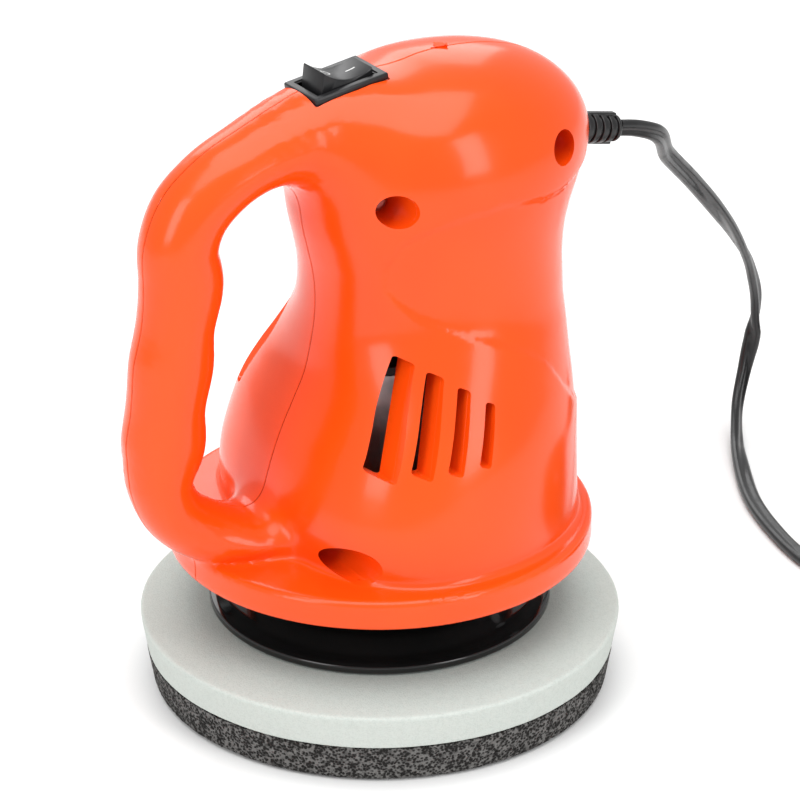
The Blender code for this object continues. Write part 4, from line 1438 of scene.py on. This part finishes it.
    def _plug(self) -> tuple[bpy.types.Object, bpy.types.Object]:
        """The plug for a vehicle socket: ribbed grip, barrel, side springs and tip."""
        x, y, radius = self.plug
        corners: list[Point] = [(0.0, 0.0, 0.0), (3.6, 0.0, 0.6), (4.3, 5.5, 1.0), (7.6, 8.5, 1.5),
                                (radius, 14.0, 2.5)]
        for i in range(5):
            z = 17.0 + 3.2 * i
            corners += [(radius, z, 0.4), (radius - 0.6, z + 0.5, 0.3), (radius - 0.6, z + 1.2, 0.3),
                        (radius, z + 1.7, 0.4)]
        end = self.plug_length
        corners += [(radius, 34.5, 0.8), (radius - 1.2, 36.0, 0.5), (radius - 1.2, end - 6.0, 1.0),
                    (radius - 3.2, end - 0.5, 1.0), (radius - 4.4, end, 0.4), (0.0, end, 0.0)]
        lie = (Matrix.Translation(Vector((x, y, radius)) * MM)
               @ Matrix.Rotation(math.radians(self.plug_turn), 4, "Z")
               @ Matrix.Rotation(math.radians(-90.0), 4, "X"))
        body = Maker.lathe("plug", Maker.rounded(corners, 3), 72)
        body.transform(lie)
        shell = Maker.piece("plug_shell", body, Finish.BLACK, "housing", "plug_body", crease=40.0)
        nose = Maker.lathe("nose", Maker.rounded([(0.0, end - 3.0, 0.0), (4.1, end - 3.0, 0.2),
                                                  (4.1, end + 2.6, 0.8), (2.4, end + 5.2, 1.0),
                                                  (0.0, end + 6.0, 0.0)]), 48)
        springs = []
        for side in (1.0, -1.0):
            rings = []
            for t in np.linspace(0.0, 1.0, 13):
                out = side * (radius - 1.6 + 1.5 * math.sin(math.pi * t))
                at = 40.0 + 14.0 * t
                rings.append([(out - side * 0.5, -1.9, at), (out, -1.7, at), (out, 1.7, at),
                              (out - side * 0.5, 1.9, at)])
            springs.append(Maker.skin("spring", rings))
        metal = Maker.joined("contacts", [nose, *springs])
        metal.transform(lie)
        return shell, Maker.piece("plug_contacts", metal, Finish.STEEL, "housing", "plug_tip")


# --------------------------------------------------------------------- insides


@dataclass
class Insides:
    """Finishes for the CAD pieces whose shapes are kept."""

    finishes: tuple[tuple[str, Finish], ...] = (
        ("base_cover", Finish.BLACK), ("drive_hub", Finish.BLACK), ("motor_shaft", Finish.STEEL),
        ("rotor_core", Finish.COPPER), ("commutator", Finish.COPPER), ("cooling_fan", Finish.FAN),
        ("motor_can", Finish.ZINC), ("motor_end_cap", Finish.BLACK), ("lower_bearing", Finish.STEEL),
        ("upper_bearing", Finish.STEEL), ("magnet", Finish.MAGNET), ("brush", Finish.CARBON),
        ("plate_screw", Finish.ZINC), ("motor_screw", Finish.ZINC), ("cover_screw", Finish.ZINC),
        ("shell_screw", Finish.ZINC), ("switch_terminal", Finish.COPPER),
    )

    def dress(self, nodes: dict[str, bpy.types.Object]) -> None:
        """Give each kept CAD piece its finish.

        Args:
            nodes: The frame's CAD pieces by name.
        """
        for name, node in nodes.items():
            if node.hide_render:
                continue
            for stem, finish in self.finishes:
                if name.startswith(stem):
                    for slot in node.material_slots:
                        slot.material = finish.material()
                    LOG.info("%s: %s", name, finish.name)
                    break
            else:
                LOG.warning("%s has no finish", name)


# ---------------------------------------------------------------------- studio


@dataclass
class Studio:
    """Pale floor, soft lights and the camera."""

    camera_at: Point = (-0.4476, -0.7108, 0.475)
    camera_pitch: float = 64.646
    camera_turn: float = -32.56
    lens: float = 164.4
    sky: float = 0.62
    floor_radius: float = 6000.0
    floor_level: float = -0.05
    # name, place, aim, size, power of each softbox
    softboxes: tuple[tuple[str, Point, Point, tuple[float, float], float], ...] = (
        ("overhead", (-0.1, -0.15, 1.5), (0.0, 0.0, 0.1), (1.3, 1.3), 15.0),
        ("front_left", (-1.25, -0.35, 0.75), (0.0, 0.0, 0.08), (0.5, 1.1), 6.5),
        ("front_right", (0.35, -1.3, 0.7), (0.0, 0.0, 0.08), (0.45, 1.1), 6.5),
        ("rear", (0.5, 1.2, 0.9), (0.0, 0.0, 0.1), (1.2, 0.8), 6.0),
    )

    def build(self) -> None:
        """Make the camera, the floor, the sky and the softboxes."""
        scene = bpy.context.scene
        scene.view_settings.view_transform = "Standard"
        camera = bpy.data.objects.new("camera", bpy.data.cameras.new("camera"))
        scene.collection.objects.link(camera)
        camera.location = self.camera_at
        camera.rotation_euler = (math.radians(self.camera_pitch), 0.0, math.radians(self.camera_turn))
        camera.data.lens = self.lens
        camera.data.sensor_width = 36.0
        camera.data.clip_start, camera.data.clip_end = 0.05, 60.0
        scene.camera = camera
        self._floor()
        self._sky(scene)
        for box in self.softboxes:
            self._softbox(*box)

    def _floor(self) -> None:
        """A wide pale floor under the tool."""
        mesh = Maker.lathe("floor", [(0.0, self.floor_level), (self.floor_radius, self.floor_level)], 64)
        floor = bpy.data.objects.new("studio_floor", mesh)
        bpy.context.scene.collection.objects.link(floor)
        mesh.materials.append(Ground().build())

    def _sky(self, scene: bpy.types.Scene) -> None:
        """Even pale light from all round."""
        world = bpy.data.worlds.new("studio_sky")
        world.use_nodes = True
        background = world.node_tree.nodes["Background"]
        background.inputs["Color"].default_value = (1.0, 1.0, 1.0, 1.0)
        background.inputs["Strength"].default_value = self.sky
        scene.world = world

    @staticmethod
    def _softbox(name: str, place: Point, aim: Point, size: tuple[float, float], power: float) -> None:
        """One rectangular area light turned towards its aim."""
        light = bpy.data.lights.new(name, "AREA")
        light.shape = "RECTANGLE"
        light.size, light.size_y = size
        light.energy = power
        obj = bpy.data.objects.new(name, light)
        bpy.context.scene.collection.objects.link(obj)
        obj.location = place
        obj.rotation_euler = (Vector(aim) - Vector(place)).to_track_quat("-Z", "Y").to_euler()


def main() -> None:
    """Build the whole model round the frame."""
    logging.basicConfig(level=logging.INFO, format="%(name)s: %(message)s")
    for obj in list(bpy.data.objects):
        bpy.data.objects.remove(obj, do_unlink=True)
    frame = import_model()
    Studio().build()
    Lead().build()
    Pad().build()
    Shells().build()
    Switch().build()
    Insides().dress(frame["nodes"])


if __name__ == "__main__":
    main()
